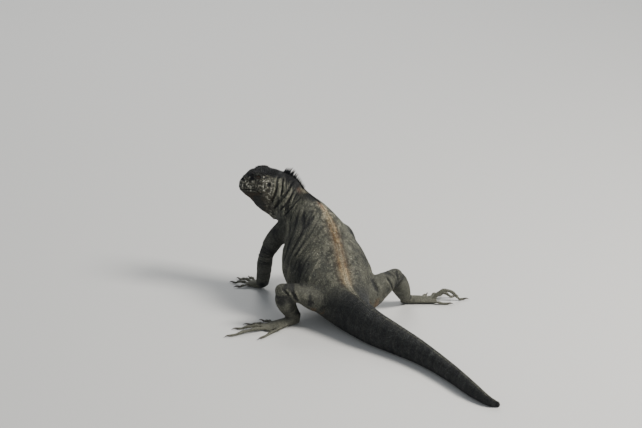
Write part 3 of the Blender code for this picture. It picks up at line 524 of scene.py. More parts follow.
def swelling_shell(along, across, up, sizes, around=32, rings=16):
    """An ellipsoid on the head as points and faces."""
    turn = ring_angles(around)
    fall = np.pi * np.arange(1, rings) / rings
    wide = np.sin(fall)[:, None]
    points = on_head(along + sizes[0] * wide * np.cos(turn), across + sizes[1] * wide * np.sin(turn),
                     up + sizes[2] * np.cos(fall)[:, None] + 0 * turn)
    ends = np.stack([on_head(along, across, up + sizes[2]), on_head(along, across, up - sizes[2])])
    index = np.arange((rings - 1) * around).reshape(rings - 1, around)
    after = np.roll(index, -1, axis=1)
    faces = np.stack([index[:-1], index[1:], after[1:], after[:-1]], -1).reshape(-1, 4).tolist()
    top, bottom = index.size, index.size + 1
    faces += [(a, b, top) for a, b in zip(index[0].tolist(), after[0].tolist())]
    faces += [(b, a, bottom) for a, b in zip(index[-1].tolist(), after[-1].tolist())]
    return np.concatenate([points.reshape(-1, 3), ends]), faces


def with_swellings(lofts):
    """Points and faces of the lofts with the head's swellings on both sides."""
    points, faces, _ = loft_mesh(lofts)
    if not any(item.kind == "head" for item in lofts):
        return points, faces
    parts, count = [points], len(points)
    for side, (along, across, up, *sizes) in itertools.product((LEFT, RIGHT), SWELLINGS.values()):
        more, more_faces = swelling_shell(along, side * across, up, [size - COAT_DEPTH for size in sizes])
        parts.append(more)
        faces += [tuple(count + k for k in face) for face in more_faces]
        count += len(more)
    return np.concatenate(parts), faces


def joined_shell(lofts):
    """One closed surface round all the lofts and the head's swellings."""
    made = new_object("skin", *with_swellings(lofts))
    step = made.modifiers.new("join", "REMESH")
    step.mode = "VOXEL"
    step.voxel_size = VOXEL
    graph = bpy.context.evaluated_depsgraph_get()
    data = bpy.data.meshes.new_from_object(made.evaluated_get(graph))
    made.modifiers.clear()
    made.data = data
    data.name = "skin"
    return made


def read_values(items, name, each, kind=np.float32):
    """One attribute of many items as rows of each numbers."""
    found = np.empty(len(items) * each, kind)
    items.foreach_get(name, found)
    return found.reshape(-1, each)


def coordinates(data):
    return read_values(data.vertices, "co", 3).astype(float)


def set_coordinates(data, points):
    data.vertices.foreach_set("co", points.astype(np.float32).ravel())
    data.update()


def normals(data):
    return read_values(data.vertex_normals, "vector", 3).astype(float)


def smooth(data, points, weight, times):
    """Moves each point towards its neighbours' mean by its weight, over and over."""
    a, b = read_values(data.edges, "vertices", 2, np.int32).T
    count = np.bincount(a, minlength=len(points)) + np.bincount(b, minlength=len(points))
    for _ in range(times):
        total = np.stack([np.bincount(a, points[b, k], len(points))
                          + np.bincount(b, points[a, k], len(points)) for k in range(3)], 1)
        points = points + (total / np.maximum(count, 1)[:, None] - points) * weight[:, None]
    return points


GROUPS = [("trunk", "head"), ("thigh", "upper_arm"), ("shank", "forearm"), ("sole",), ("digit",)]
BLEND_REACH = np.array([0.0115, 0.0115, 0.0075, 0.0055, 0.0030])  # by the smaller of the two that meet


def near_lofts(points, lofts):
    """How near each point is to where two stretches meet, from 0 to 1, and its nearest point on any."""
    reach, nearest = [], []
    for kinds in GROUPS:
        shell, faces = with_swellings([item for item in lofts if item.kind in kinds])
        tree = BVHTree.FromPolygons(shell.tolist(), faces)
        hits = [tree.find_nearest(p) for p in points.tolist()]
        reach.append([hit[3] for hit in hits])
        nearest.append([tuple(hit[0]) for hit in hits])
    reach, nearest = np.array(reach), np.array(nearest)
    first, second = np.argsort(reach, axis=0)[:2]
    every = np.arange(len(points))
    weight = np.clip(1 - reach[second, every] / BLEND_REACH[np.maximum(first, second)], 0, 1)
    return weight, nearest[first, every]


def refine(data, chosen):
    """Splits the faces whose points are all chosen in four."""
    mesh = bmesh.new()
    mesh.from_mesh(data)
    mesh.verts.ensure_lookup_table()
    keep = set(np.flatnonzero(chosen).tolist())
    edges = [e for e in mesh.edges if e.verts[0].index in keep and e.verts[1].index in keep]
    bmesh.ops.subdivide_edges(mesh, edges=edges, cuts=1, use_grid_fill=True)
    mesh.to_mesh(data)
    mesh.free()


def mouth_distance(along, up):
    """How far above the mouth's line each point is, and how far it is from the line's ends."""
    line = np.array(MOUTH)
    height = np.interp(along, line[:, 0], line[:, 1])
    slope = np.interp(along, line[:-1, 0], np.diff(line[:, 1]) / np.diff(line[:, 0]))
    above = (up - height) / np.sqrt(1 + slope ** 2)
    beyond = np.maximum(line[0, 0] - along, 0)
    return above, beyond


def opening_depth(a, b):
    """How far inside the opening between the lids a place on the eye lies, and which way is further in."""
    half, high, low = ALMOND
    arch = 1 - (a / half) ** 2
    above, below = high * arch - b, low * arch + b
    upper = above < below
    slope = np.stack([np.where(upper, -2 * high, -2 * low) * a / half ** 2, np.where(upper, -1.0, 1.0)], -1)
    return np.where(upper, above, below), slope


def round_eye(points, side):
    """Each point's distance from an eye's middle, its place on the eyeball across and up its opening, and
    whether it is on the eye's outer side."""
    along, across, up = head_coordinates(points)
    x, y, z = along - EYE[0], up - EYE[1], side * across - EYE_ACROSS
    away = np.sqrt(x ** 2 + y ** 2 + z ** 2)
    a, b = EYE_RADIUS * x / away, EYE_RADIUS * y / away
    cosine, sine = math.cos(ALMOND_TILT), math.sin(ALMOND_TILT)
    return away, a * cosine + b * sine, b * cosine - a * sine, z > 0


def sculpt_eyes(points):
    """Presses the skin round each eyeball into two lids with an almond opening between them."""
    moved = points.copy()
    for side in (LEFT, RIGHT):
        away, a, b, outer = round_eye(points, side)
        near = np.flatnonzero(outer & (away < EYE_REACH))
        away, a, b = away[near], a[near], b[near]
        inside, slope = opening_depth(a, b)
        pull = np.where(np.abs(inside) < RIM_SNAP, -inside, 0) / (slope ** 2).sum(1)
        a, b = a + pull * slope[:, 0], b + pull * slope[:, 1]
        out = np.where(np.abs(inside) < RIM_SNAP, 0.0, -inside)
        lid = 0.00010 + 0.00052 * smoothstep(0, 0.00045, out) + 0.00014 * bump(out - 0.0006, 0.0003)
        lid += -0.00034 * bump(out - 0.00125, 0.00028) + 0.00014 * bump(out - 0.0018, 0.0004)
        target = EYE_RADIUS + np.where(out < 0, -0.0010, lid)
        tilt = np.minimum(np.hypot(a, b) / EYE_RADIUS, 0.9999)
        share = 1 - smoothstep(0.88, 0.995, tilt)
        new = away + (target - away) * share
        cosine, sine = math.cos(ALMOND_TILT), math.sin(ALMOND_TILT)
        x, y = (a * cosine - b * sine) / EYE_RADIUS, (a * sine + b * cosine) / EYE_RADIUS
        z = np.sqrt(1 - tilt ** 2)
        moved[near] = on_head(EYE[0] + x * new, side * (EYE_ACROSS + z * new), EYE[1] + y * new)
    return moved


def nostril_distance(along, out, up):
    a, c, u = NOSTRIL_PIT[:3]
    return np.sqrt((along - a) ** 2 + (out - c) ** 2 + (up - u) ** 2)


MOUTH_DEEP, MOUTH_WIDE = 0.0013, 0.00050
LIP_ROLL, LIP_HIGH = 0.0014, 0.00055  # how far each lip's roll lies from the mouth's line, and its height
NOSTRIL_DEEP = 0.0021
BROW_RIDGE, EYE_FOLD = 0.0128, 0.0022  # heights on the head of the ridge over the eye and the fold below it
BROW_MIDDLE = 0.0215  # how far along the head both have their middle
LORE = (0.0295, 0.0075)  # the hollow in front of the eye


def head_relief(points):
    """How far out the head's features move its skin."""
    along, across, up = head_coordinates(points)
    out = np.abs(across)
    above, beyond = mouth_distance(along, up)
    front = 1 - smoothstep(0.0, 0.0030, beyond)
    relief = -MOUTH_DEEP * bump(above, MOUTH_WIDE) * front
    relief += LIP_HIGH * (bump(above - LIP_ROLL, 0.0008) + bump(above + LIP_ROLL, 0.0008)) * front
    away, size = nostril_distance(along, out, up), NOSTRIL_PIT[3]
    relief += -NOSTRIL_DEEP * bump(away, size * 0.9) + 0.0005 * bump(away - size * 1.6, 0.0006)
    size, deep = EAR[2:]
    side = smoothstep(0.010, 0.013, out)
    away = from_spot(along, up, EAR)
    relief -= deep * 1.1 * (1 - smoothstep(size * 0.60, size * 0.9, away)) * side
    relief += 0.0004 * bump(away - size * 1.25, 0.0007) * side
    # The ridge over each eye, the hollow in front of it and the fold below it
    ridge = bump(up - BROW_RIDGE + 0.09 * (along - 0.022), 0.0011)
    relief += 0.0005 * ridge * bump(along - BROW_MIDDLE, 0.0065) * side
    relief -= 0.0008 * bump(from_spot(along, up, LORE), 0.0026) * (out > 0.006)
    below = bump(up - EYE_FOLD - 0.15 * (along - 0.022), 0.0007)
    relief -= 0.0005 * below * bump(along - BROW_MIDDLE, 0.0055)
    throat = smoothstep(-0.010, -0.018, up)
    relief += 0.00030 * throat * noise(np.stack([along / 4, across, up], 1), 0.0022, 5.0)
    return relief


# Folds of the neck's skin, deepest on the inner side of its bend: how far each sinks, or rises where it is
# below nought, its half width, and its course in the head's own directions
Fold = collections.namedtuple("Fold", "depth width course")
FOLDS = [
    Fold(0.0014, 0.0010, [(-0.001, -0.008, 0.009), (0.002, -0.0115, 0.005), (0.002, -0.015, -0.0015),
                          (0.0065, -0.0155, -0.014), (0.0095, -0.013, -0.0225)]),
    Fold(-0.0009, 0.0016, [(-0.001, -0.014, 0.001), (0, -0.0165, -0.007), (0.004, -0.015, -0.0165),
                           (0.0115, -0.010, -0.030)]),
    Fold(0.0013, 0.0009, [(-0.0045, -0.0085, 0.0065), (-0.004, -0.015, -0.0015),
                          (-0.003, -0.0185, -0.0125)]),
    Fold(0.0016, 0.0011, [(-0.016, -0.0095, 0.004), (-0.011, -0.017, -0.004), (-0.007, -0.0195, -0.009),
                          (-0.002, -0.0185, -0.0155), (0.010, -0.007, -0.032)]),
    Fold(-0.0007, 0.0013, [(-0.0165, -0.016, -0.002), (-0.008, -0.021, -0.014), (-0.002, -0.019, -0.0215)]),
    Fold(0.0010, 0.0010, [(-0.020, -0.0165, -0.0035), (-0.011, -0.0225, -0.0155), (-0.005, -0.0205, -0.0225),
                          (0.001, -0.014, -0.031)]),
    Fold(0.0009, 0.0011, [(-0.024, -0.0215, -0.009), (-0.013, -0.0265, -0.023), (-0.006, -0.0225, -0.033)]),
    Fold(0.0007, 0.0012, [(-0.002, 0.009, 0.008), (0.001, 0.015, 0), (0.004, 0.016, -0.012),
                          (0.008, 0.012, -0.023)]),
    Fold(0.0006, 0.0012, [(-0.009, 0.008, 0.006), (-0.008, 0.016, -0.006), (-0.005, 0.015, -0.018),
                          (0, 0.010, -0.029)]),
    Fold(0.0006, 0.0013, [(-0.016, 0.007, 0.002), (-0.015, 0.014, -0.010), (-0.011, 0.013, -0.022)]),
]
# Folds of the hind legs' skin over the knees and across the thighs: the stretch that each crosses, and the
# place along it and share of a turn round it at each of its ends
LegFold = collections.namedtuple("LegFold", "depth width stretch start end")
LEG_FOLDS = [
    LegFold(0.0010, 0.0010, "thigh_left", (3.0, 0.53), (2.5, 0.42)),
    LegFold(0.0012, 0.0013, "thigh_left", (2.5, 0.55), (1.9, 0.34)),
    LegFold(0.0004, 0.0020, "thigh_left", (1.6, 0.57), (1.35, 0.38)),
    LegFold(0.0010, 0.0013, "thigh_right", (2.3, 0.36), (2.25, 0.63)),
    LegFold(0.0009, 0.0010, "thigh_right", (3.05, 0.33), (2.95, 0.52)),
    LegFold(0.0005, 0.0018, "thigh_right", (1.6, 0.26), (1.25, 0.52)),
]
FOLD_STEPS = 60


def leg_course(fold, lofts):
    """Places on a leg's stretch from one end of a fold to the other."""
    item = next(item for item in lofts if item.name == fold.stretch)
    share = np.linspace(0, 1, FOLD_STEPS)
    t, angle = (a + (b - a) * share for a, b in zip(fold.start, fold.end))
    row = np.minimum(np.searchsorted(item.t, t), len(item.t) - 1)
    return item.rings[row, (angle * ROUND).astype(int) % ROUND]


def fold_courses(tree, lofts):
    """Each fold's course laid on the skin as closely set points."""
    laid = []
    for fold in FOLDS:
        points = on_head(*rows_at(fold.course, np.linspace(0, len(fold.course) - 1, FOLD_STEPS)).T)
        laid.append((fold, points))
    laid += [(fold, leg_course(fold, lofts)) for fold in LEG_FOLDS]
    return [(fold, np.array([tuple(tree.find_nearest(p)[0]) for p in points.tolist()]))
            for fold, points in laid]


def kd_tree(points):
    tree = KDTree(len(points))
    for k, p in enumerate(points.tolist()):
        tree.insert(p, k)
    tree.balance()
    return tree


def fold_relief(points, courses):
    relief = np.zeros(len(points))
    for fold, course in courses:
        near = np.flatnonzero(np.linalg.norm(points - course.mean(0), axis=1) < 0.035)
        tree = kd_tree(course)
        found = [tree.find(p) for p in points[near].tolist()]
        away = np.array([hit[2] for hit in found])
        place = np.array([hit[1] for hit in found]) / (len(course) - 1)
        fade = between(place, 0, 0.18, 0.82, 1)
        edge = 0.4 * bump(away - 2.1 * fold.width, fold.width)
        relief[near] += fold.depth * fade * (edge - bump(away, fold.width))
    return relief


def turn_away(angle, middle):
    """The share of a turn between two angles, at most a half."""
    return np.abs((angle - middle + 0.5) % 1 - 0.5)


def wrinkles(places, cell, long, seed, slant=0.0):
    """Creases across the body or a limb, from 0 on a ridge to -1 in a crease. With a slant they run back
    as they come down its sides."""
    angle = 2 * np.pi * places.angle
    run = places.run + slant * turn_away(places.angle, 0.0) * 2 * np.pi * places.radius
    q = np.stack([run / cell, np.cos(angle) * places.radius / long, np.sin(angle) * places.radius / long], 1)
    q[:, 0] += 0.9 * noise(q * (0.35, 1.0, 1.0), 1.0, seed + 3)
    return -(1 - np.abs(noise(q, 1.0, seed))) ** 3


SLANT = 0.75  # how far the flank's creases run back for each step down the side
# Creases by their spacing, their length and the seed of their noise
FLANK_CREASES, FINE_CREASES = (0.0032, 0.017, 1.0), (0.0019, 0.011, 2.0)
LIMB_CREASES, JOINT_CREASES = (0.0042, 0.011, 6.0), (0.0026, 0.018, 8.0)
DIGIT_CREASES, SOLE_CREASES = (0.0017, 0.009, 9.0), (0.0030, 0.012, 10.0)
TAIL_RING = 0.0052  # from groove to groove along the tail


def trunk_relief(points, places):
    body = smoothstep(8.6, 10.0, places.t)
    side = 1 - bump(turn_away(places.angle, 0.5), 0.14)
    shoulder = smoothstep(10.5, 12.5, places.t)
    deep = 0.00095 + 0.00045 * shoulder
    back = 1 - 0.75 * bump(turn_away(places.angle, 0.0), 0.13)
    main = wrinkles(places, *FLANK_CREASES, SLANT) * (0.65 + 0.35 * noise(points, 0.018, 4.5))
    fine = wrinkles(places, *FINE_CREASES, SLANT)
    relief = deep * body * back * (0.35 + 0.65 * side) * (0.30 + main)
    relief += 0.00050 * body * back * (0.3 + fine) * side
    relief += 0.00025 * body * noise(points, 0.013, 4.0)
    relief += 0.00040 * bump(turn_away(places.angle, 0.0) * places.radius * 6.3, 0.0022)
    tail = 1 - smoothstep(7.5, 9.0, places.t)
    relief -= 0.00022 * tail * bump((places.run / TAIL_RING) % 1 - 0.5, 0.10)
    return relief


def limb_relief(points, places, kinds):
    """Creases deepest about the knee or elbow."""
    upper = np.isin(kinds, ("thigh", "upper_arm"))
    relief = 0.00028 * wrinkles(places, *LIMB_CREASES) + 0.00035 * noise(points, 0.008, 7.0)
    joint = np.where(upper, np.abs(places.t - 3.0), np.abs(places.t))
    relief += 0.00075 * bump(joint, 0.55) * wrinkles(places, *JOINT_CREASES)
    return relief


def paw_relief(places, kinds):
    crease = 0.00022 * wrinkles(places, *DIGIT_CREASES)
    return np.where(kinds == "digit", crease * 0.8, 0.00025 * wrinkles(places, *SOLE_CREASES))


def body_relief(points, places, lofts, courses):
    """How far out from the smooth form the skin lies."""
    kinds = kinds_of(lofts, places.loft)
    relief = np.zeros(len(points))
    mine = np.flatnonzero(kinds == "trunk")
    relief[mine] = trunk_relief(points[mine], picked(places, mine))
    mine = np.flatnonzero(np.isin(kinds, LEGS + ARMS))
    relief[mine] = limb_relief(points[mine], picked(places, mine), kinds[mine])
    mine = np.flatnonzero(np.isin(kinds, PAWS))
    relief[mine] = paw_relief(picked(places, mine), kinds[mine])
    mine = np.flatnonzero((kinds == "head") | ((kinds == "trunk") & (places.t > 18.2)))
    relief[mine] += head_relief(points[mine])
    return relief + fold_relief(points, courses)


def skin_tree(data):
    return BVHTree.FromPolygons(coordinates(data).tolist(), [tuple(face.vertices) for face in data.polygons])


def make_skin(lofts, chart):
    """The skin, with the place and relief of each of its points and the folds as they lie on it."""
    skin = joined_shell(lofts)
    points = coordinates(skin.data)
    weight, nearest = near_lofts(points, lofts)
    points = points + (nearest - points) * (1 - smoothstep(0.0, 0.5, weight))[:, None]
    points = smooth(skin.data, points, 0.75 * weight ** 0.7, 26)
    points = smooth(skin.data, points, np.full(len(points), 0.3), 1)
    set_coordinates(skin.data, points)
    kinds = kinds_of(lofts, chart.places(points).loft)
    refine(skin.data, about_head(points, 0.0045, 0.1) | (kinds == "digit"))
    points = coordinates(skin.data)
    along, across, up = head_coordinates(points)
    near_eye = from_spot(along, up, EYE) < LIDS_REACH
    refine(skin.data, near_eye & (np.abs(across) > 0.007))
    points = coordinates(skin.data)
    points = smooth(skin.data, points, 0.5 * about_head(points, 0.002), 3)
    set_coordinates(skin.data, points)
    courses = fold_courses(skin_tree(skin.data), lofts)
    places = chart.places(points)
    relief = body_relief(points, places, lofts, courses)
    points = points + normals(skin.data) * relief[:, None]
    points = off_floor(sculpt_eyes(points), 0.00005)
    set_coordinates(skin.data, points)
    skin.data.shade_smooth()
    return skin, places, relief, courses


# Colour
SPOT_STEP = 0.0080  # the length on the skin that a spot takes each place on BODY for


def spot(places, t, angle, long, wide):
    """How near each place on the trunk is to a place on it, as a soft spot long and wide."""
    along = (places.t - t) * SPOT_STEP / long
    aside = turn_away(places.angle, angle) * 2 * np.pi * places.radius / wide
    return np.exp(-along ** 2 - aside ** 2)


# Marks on the back and neck: paint, strength, place on BODY, share of a turn round it, length and width
BACK_MARKS = [(SALMON, 0.8, 13.58, 0.0, 0.0030, 0.0028), (CREAM, 0.75, 9.45, 0.0, 0.0060, 0.0028),
              (CREAM, 0.7, 15.75, 0.985, 0.0035, 0.0030), (SALMON, 0.35, 16.2, 0.945, 0.0030, 0.0025)]


def paint_trunk(colour, points, places, blotch):
    """The back's cream and rust line, the black nape and tail, partly painted shade on the tail, and the
    paler belly.
    """
    off_line = turn_away(places.angle, 0.0) * 2 * np.pi * places.radius
    body = smoothstep(8.4, 10.0, places.t)
    tail = 1 - smoothstep(8.3, 9.5, places.t)
    # The tail's near black is partly its own colour and partly painted shade
    colour = mix(colour, mix(INK, SLATE, np.clip(0.35 + 0.55 * blotch, 0, 1)), 0.90 * tail)
    colour = mix(colour, GREY, 0.10 * tail * bump((places.run / (2 * TAIL_RING)) % 1 - 0.5, 0.16))
    back = body * (1 - smoothstep(14.2, 15.4, places.t)) * bump(off_line, 0.022)
    grain = smoothstep(-0.35, 0.55, noise(points, 0.0023, 23.0) + 0.5 * noise(points, 0.0060, 20.0))
    colour = mix(colour, PALE, 0.62 * back * grain)
    cream = between(places.t, 11.4, 12.2, 13.5, 14.3) * bump(off_line, 0.009)
    colour = mix(colour, CREAM, 0.75 * cream * grain)
    line = between(places.t, 8.8, 9.6, 13.0, 13.8) * bump(off_line, 0.0036)
    rusty = bump(places.t - 10.8, 1.5)
    bead = smoothstep(-0.1, 0.5, noise(points, 0.0026, 24.0))
    stain = between(places.t, 8.8, 9.6, 12.0, 12.8) * bump(off_line, 0.0062)
    colour = mix(colour, RUST, 0.42 * stain)
    colour = mix(colour, mix(TAN, RUST, rusty * (1 - bead)), 0.92 * line * (0.55 + 0.45 * bead))
    for shade, strength, *where in BACK_MARKS:
        colour = mix(colour, shade, strength * spot(places, *where))
    reach = 0.0115 + 0.0085 * smoothstep(16.3, 17.6, places.t)
    nape = smoothstep(15.9, 16.6, places.t) * np.exp(-(off_line / reach) ** 6)
    patch = between(places.t, 14.0, 14.3, 15.2, 15.5)
    patch *= np.exp(-(off_line / 0.0105) ** 4)
    colour = mix(colour, INK, 0.92 * nape)
    colour = mix(colour, INK, 0.90 * patch)
    neck = smoothstep(15.2, 16.5, places.t)
    colour = mix(colour, GREY, 0.55 * neck * (1 - nape))
    colour = mix(colour, SLATE, 0.75 * neck * bump(turn_away(places.angle, 0.5), 0.16))
    belly = body * (1 - smoothstep(14.5, 15.5, places.t)) * bump(turn_away(places.angle, 0.5), 0.15)
    return mix(colour, PALE, 0.40 * belly)


def paint_head(colour, points):
    """A pale, speckled face between a black crown and a dark jaw."""
    along, across, up = head_coordinates(points)
    out = np.abs(across)
    speck = noise(points, 0.0012, 25.0) + 0.30 * noise(points, 0.0046, 26.0)
    crown_edge = 0.0090 + 0.0009 * noise(points, 0.004, 29.0) - 0.0020 * smoothstep(0.028, 0.036, along)
    crown_edge -= 0.0040 * smoothstep(0.012, 0.001, along)
    crown = smoothstep(crown_edge, crown_edge + 0.0016, up) * (1 - 0.6 * smoothstep(0.034, 0.042, along))
    jaw = smoothstep(-0.0058, -0.0080, up) * smoothstep(0.012, 0.020, along)
    face = smoothstep(0.004, 0.012, along) * (1 - crown) * (1 - jaw)
    colour = mix(colour, mix(GREY, RUST, 0.10), 0.5 * face)
    colour = mix(colour, SALT, 0.72 * face * smoothstep(0.20, 0.55, speck))
    colour = mix(colour, INK, 0.80 * face * smoothstep(0.05, 0.40, -speck))
    colour = mix(colour, INK, 0.90 * crown)
    colour = mix(colour, INK, 0.72 * jaw)
    colour = mix(colour, RUST, 0.16 * jaw * smoothstep(0.0, 0.5, noise(points, 0.0050, 27.0)))
    cheek = bump(np.hypot(along - 0.0130, (up + 0.0130) * 0.8), 0.0075) * (out > 0.008)
    colour = mix(colour, mix(GREY, RUST, 0.18), 0.45 * cheek)
    # Painted shade in the nostril, the hollow before the eye and the lids' rim; brown lids; a painted
    # highlight behind the ear
    # Painted shade in the nostril's pit
    nostril = nostril_distance(along, out, up)
    colour = mix(colour, INK, 0.94 * (1 - smoothstep(0.0016, 0.0028, nostril)))
    tip = smoothstep(0.0405, 0.0440, along) * (up > -0.006)
    colour = mix(colour, SLATE, 0.6 * tip)
    # Painted shade in the hollow in front of the eye
    lore = bump(np.hypot((along - 0.0290) * 1.2, (up - 0.0080) * 0.6), 0.0024) * (out > 0.006)
    colour = mix(colour, INK, 0.75 * lore)
    lids = bump(from_spot(along, up, EYE), 0.0042) * (out > 0.009)
    colour = mix(colour, mix(SLATE, GREY, 0.5), 0.70 * lids)
    # Painted shade on the lids' rim round the eye's opening
    for side in (LEFT, RIGHT):
        away, a, b, outer = round_eye(points, side)
        rim = smoothstep(-0.00060, -0.00015, opening_depth(a, b)[0]) * outer * (away < 0.006)
        colour = mix(colour, INK, 0.92 * rim)
    ear = from_spot(along, up, EAR)
    side = out > 0.010
    colour = mix(colour, mix(SLATE, GREY, 0.6), 0.55 * (1 - smoothstep(0.0018, 0.0030, ear)) * side)
    # A painted highlight behind the ear
    glint = bump(ear - 0.0048, 0.0011) * (along < EAR[0] - 0.0016) * side
    return mix(colour, SALT, 0.35 * glint * smoothstep(-0.1, 0.4, speck))


def paint(points, places, relief, lofts):
    """The colour of the skin and of what grows from it."""
    kinds = kinds_of(lofts, places.loft)
    blotch = noise(points, 0.0075, 21.0) * 0.6 + noise(points, 0.0030, 22.0) * 0.4
    trunk, head, paws = kinds == "trunk", kinds == "head", np.isin(kinds, PAWS)
    colour = mix(SLATE, OLIVE, np.clip(0.62 + 0.42 * blotch, 0, 1))
    limb = ~trunk & ~head
    colour = mix(colour, mix(OLIVE, GREY, np.clip(0.35 + 0.5 * blotch, 0, 1)), 0.75 * limb)
    mine = np.flatnonzero(trunk)
    colour[mine] = paint_trunk(colour[mine], points[mine], picked(places, mine), blotch[mine])
    mine = np.flatnonzero(head)
    colour[mine] = paint_head(colour[mine], points[mine])
    # Painted shade: both arms are darkened towards slate
    colour = mix(colour, SLATE, 0.40 * np.isin(kinds, ARMS))
    colour = mix(colour, PALE, 0.42 * paws * np.clip(0.65 + 0.5 * blotch, 0, 1))
    under = (kinds == "thigh") * smoothstep(0.032, 0.018, points[:, 2])
    colour = mix(colour, RUST, 0.40 * under * smoothstep(-0.2, 0.5, noise(points, 0.0060, 28.0)))
    # Painted shade darkens the creases and a painted highlight makes their ridges pale
    dark = np.clip(luminance(colour) / 0.05, 0, 1)
    rear = head & (head_coordinates(points)[0] < 0.0070)
    neck = trunk & (places.t > 15.3) | head
    colour = mix(colour, INK, (0.80 + 0.06 * neck) * smoothstep(0.00006, 0.00052, -relief))
    ridge_highlight = np.where(head & ~rear, 0.12, np.where(neck, 0.72, 0.52))
    colour = mix(colour, PALE, ridge_highlight * smoothstep(0.00008, 0.00045, relief) * dark)
    return np.clip(colour, DARKEST, LIGHTEST)


def luminance(colour):
    return colour @ np.array([0.2126, 0.7152, 0.0722])


def set_colour(data, colour):
    layer = data.attributes.new("hue", "FLOAT_COLOR", "POINT")
    rgba = np.concatenate([colour, np.ones((len(colour), 1))], 1)
    layer.data.foreach_set("color", rgba.astype(np.float32).ravel())


# Scales: each has its root, the skin's normal there, the way it leans, its sizes and height, its stretch,
# how far its colour strays, how far its top leans back and how pointed it is
Roots = collections.namedtuple("Roots", "point normal back wide long high loft tone keel peak")
PITCH = {"trunk": 0.00122, "head": 0.0013, "thigh": 0.00130, "shank": 0.00125, "upper_arm": 0.00125,
         "forearm": 0.00120, "sole": 0.00120, "digit": 0.00125}


def look_at(item, t, angle):
    """A scale's width, length, height, lean and point at place t and a share of a turn round a stretch."""
    size = PITCH[item.kind]
    if item.kind == "digit":
        return size * 1.3, size * 0.85, 0.00024 + 0 * angle, 0.30 + 0 * angle, 0 * angle
    if item.kind != "trunk":
        return size, size, 0.00030 + 0 * angle, 0.18 + 0 * angle, 0.25 + 0 * angle
    tail = 1 - smoothstep(7.6, 9.4, t)
    tip = 1 - smoothstep(0.2, 3.0, t)
    belly = bump(turn_away(angle, 0.5), 0.15) * (1 - tail)
    ridge = bump(turn_away(angle, 0.0), 0.07) * (1 - tail)
    high = 0.00034 + 0.00008 * tail + 0.00018 * ridge - 0.00018 * belly
    lean = 0.15 + 0.35 * tail + 0.15 * ridge - 0.1 * belly
    wide = size + 0.00025 * tail - 0.0004 * tip
    long = size + 0.00085 * tail - 0.0006 * tip
    return wide, long, high, lean, 0.35 + 0.3 * ridge


def rows_of_scales(item, number, rng):
    """Roots in staggered rings along a loft."""
    found = []
    last = len(item.run) - 1
    run, row = 0.0, 0
    while run < item.run[-1]:
        place = np.interp(run, item.run, np.arange(last + 1))
        low = min(int(place), last - 1)
        f = place - low
        ring = item.rings[low] * (1 - f) + item.rings[low + 1] * f
        ahead = item.rings[low + 1] - item.rings[low]
        t = item.t[low] * (1 - f) + item.t[low + 1] * f
        wide, long = look_at(item, t, np.zeros(1))[:2]
        if item.kind in LEGS + ARMS and not 0.05 < t < item.t[-len(END_TURNS) - 1] - 0.05:
            run += long
            continue
        closed = np.concatenate([ring, ring[:1]])
        arc = np.concatenate([[0], np.cumsum(np.linalg.norm(np.diff(closed, axis=0), axis=1))])
        count = max(int(round(arc[-1] / wide)), 5)
        loose = 0.04 if item.kind == "digit" else 0.14
        at = np.arange(count) + (0.5 * (row % 2) if item.kind != "digit" else 0.0)
        at = (at + rng.uniform(-loose, loose, count)) / count * arc[-1] % arc[-1]
        points = np.stack([np.interp(at, arc, closed[:, k]) for k in range(3)], 1)
        share = np.interp(at, arc, np.arange(len(closed))) / len(ring)
        aim = unit(ahead[(share * len(ring)).astype(int) % len(ring)]) * (-1 if item.backward else 1)
        points += aim * rng.uniform(-loose, loose, (count, 1)) * long
        size = rng.uniform(0.98 - loose, 0.98 + loose, count)
        _, _, high, lean, peak = look_at(item, t, share)
        found.append(np.column_stack([points, aim, wide * size, long * size, high * size, lean, peak,
                                      np.full(count, number)]))
        run += long
        row += 1
    return np.concatenate(found)


LABIAL, LABIAL_WIDE, LABIAL_HIGH = 0.0017, 0.0019, 0.00038  # pitch, width and height of the scales on a lip
LIP = 0.00145  # how far they lie from the mouth's line


def head_reach(tree, inner, outer):
    """The share of the way from inside the head to a place outside it where its surface lies."""
    way = outer - inner
    length = np.linalg.norm(way)
    hit = tree.ray_cast(inner.tolist(), (way / length).tolist())
    return hit[3] / length if hit[0] is not None else 1.0


def rows_of_labials(lofts):
    """Roots along both lips on both sides of the mouth."""
    number = next(k for k, item in enumerate(lofts) if item.kind == "head")
    points, faces, _ = loft_mesh([lofts[number]])
    tree = BVHTree.FromPolygons(points.tolist(), faces)
    found = []
    line = np.array(MOUTH)
    for side, off_line in itertools.product((LEFT, RIGHT), (LIP, -LIP)):
        along = np.arange(line[0, 0] + 0.0005, HEAD_TIP - 0.0012, LABIAL)
        up = np.interp(along, line[:, 0], line[:, 1]) + off_line
        points = on_head(along, side * 0.030 * (1 - smoothstep(0.030, HEAD_TIP, along)), up)
        inner = on_head(along * 0.9, 0.0, up)
        share = np.array([head_reach(tree, p, q) for p, q in zip(inner, points)])
        points = inner + (points - inner) * share[:, None]
        aim = np.broadcast_to(-facing(HEAD_TURN, HEAD_PITCH)[0], points.shape)
        looks = np.broadcast_to((LABIAL_WIDE, LABIAL, LABIAL_HIGH, 0.05, 0.0, number), (len(points), 6))
        found.append(np.column_stack([points, aim, looks]))
    return np.concatenate(found)


def apart(points, reach):
    """Which points to keep so that none lies within reach of one before it."""
    tree = kd_tree(points)
    alive = np.ones(len(points), bool)
    for k, p in enumerate(points.tolist()):
        if alive[k]:
            for _, other, _ in tree.find_range(p, reach[k]):
                if other > k:
                    alive[other] = False
    return alive


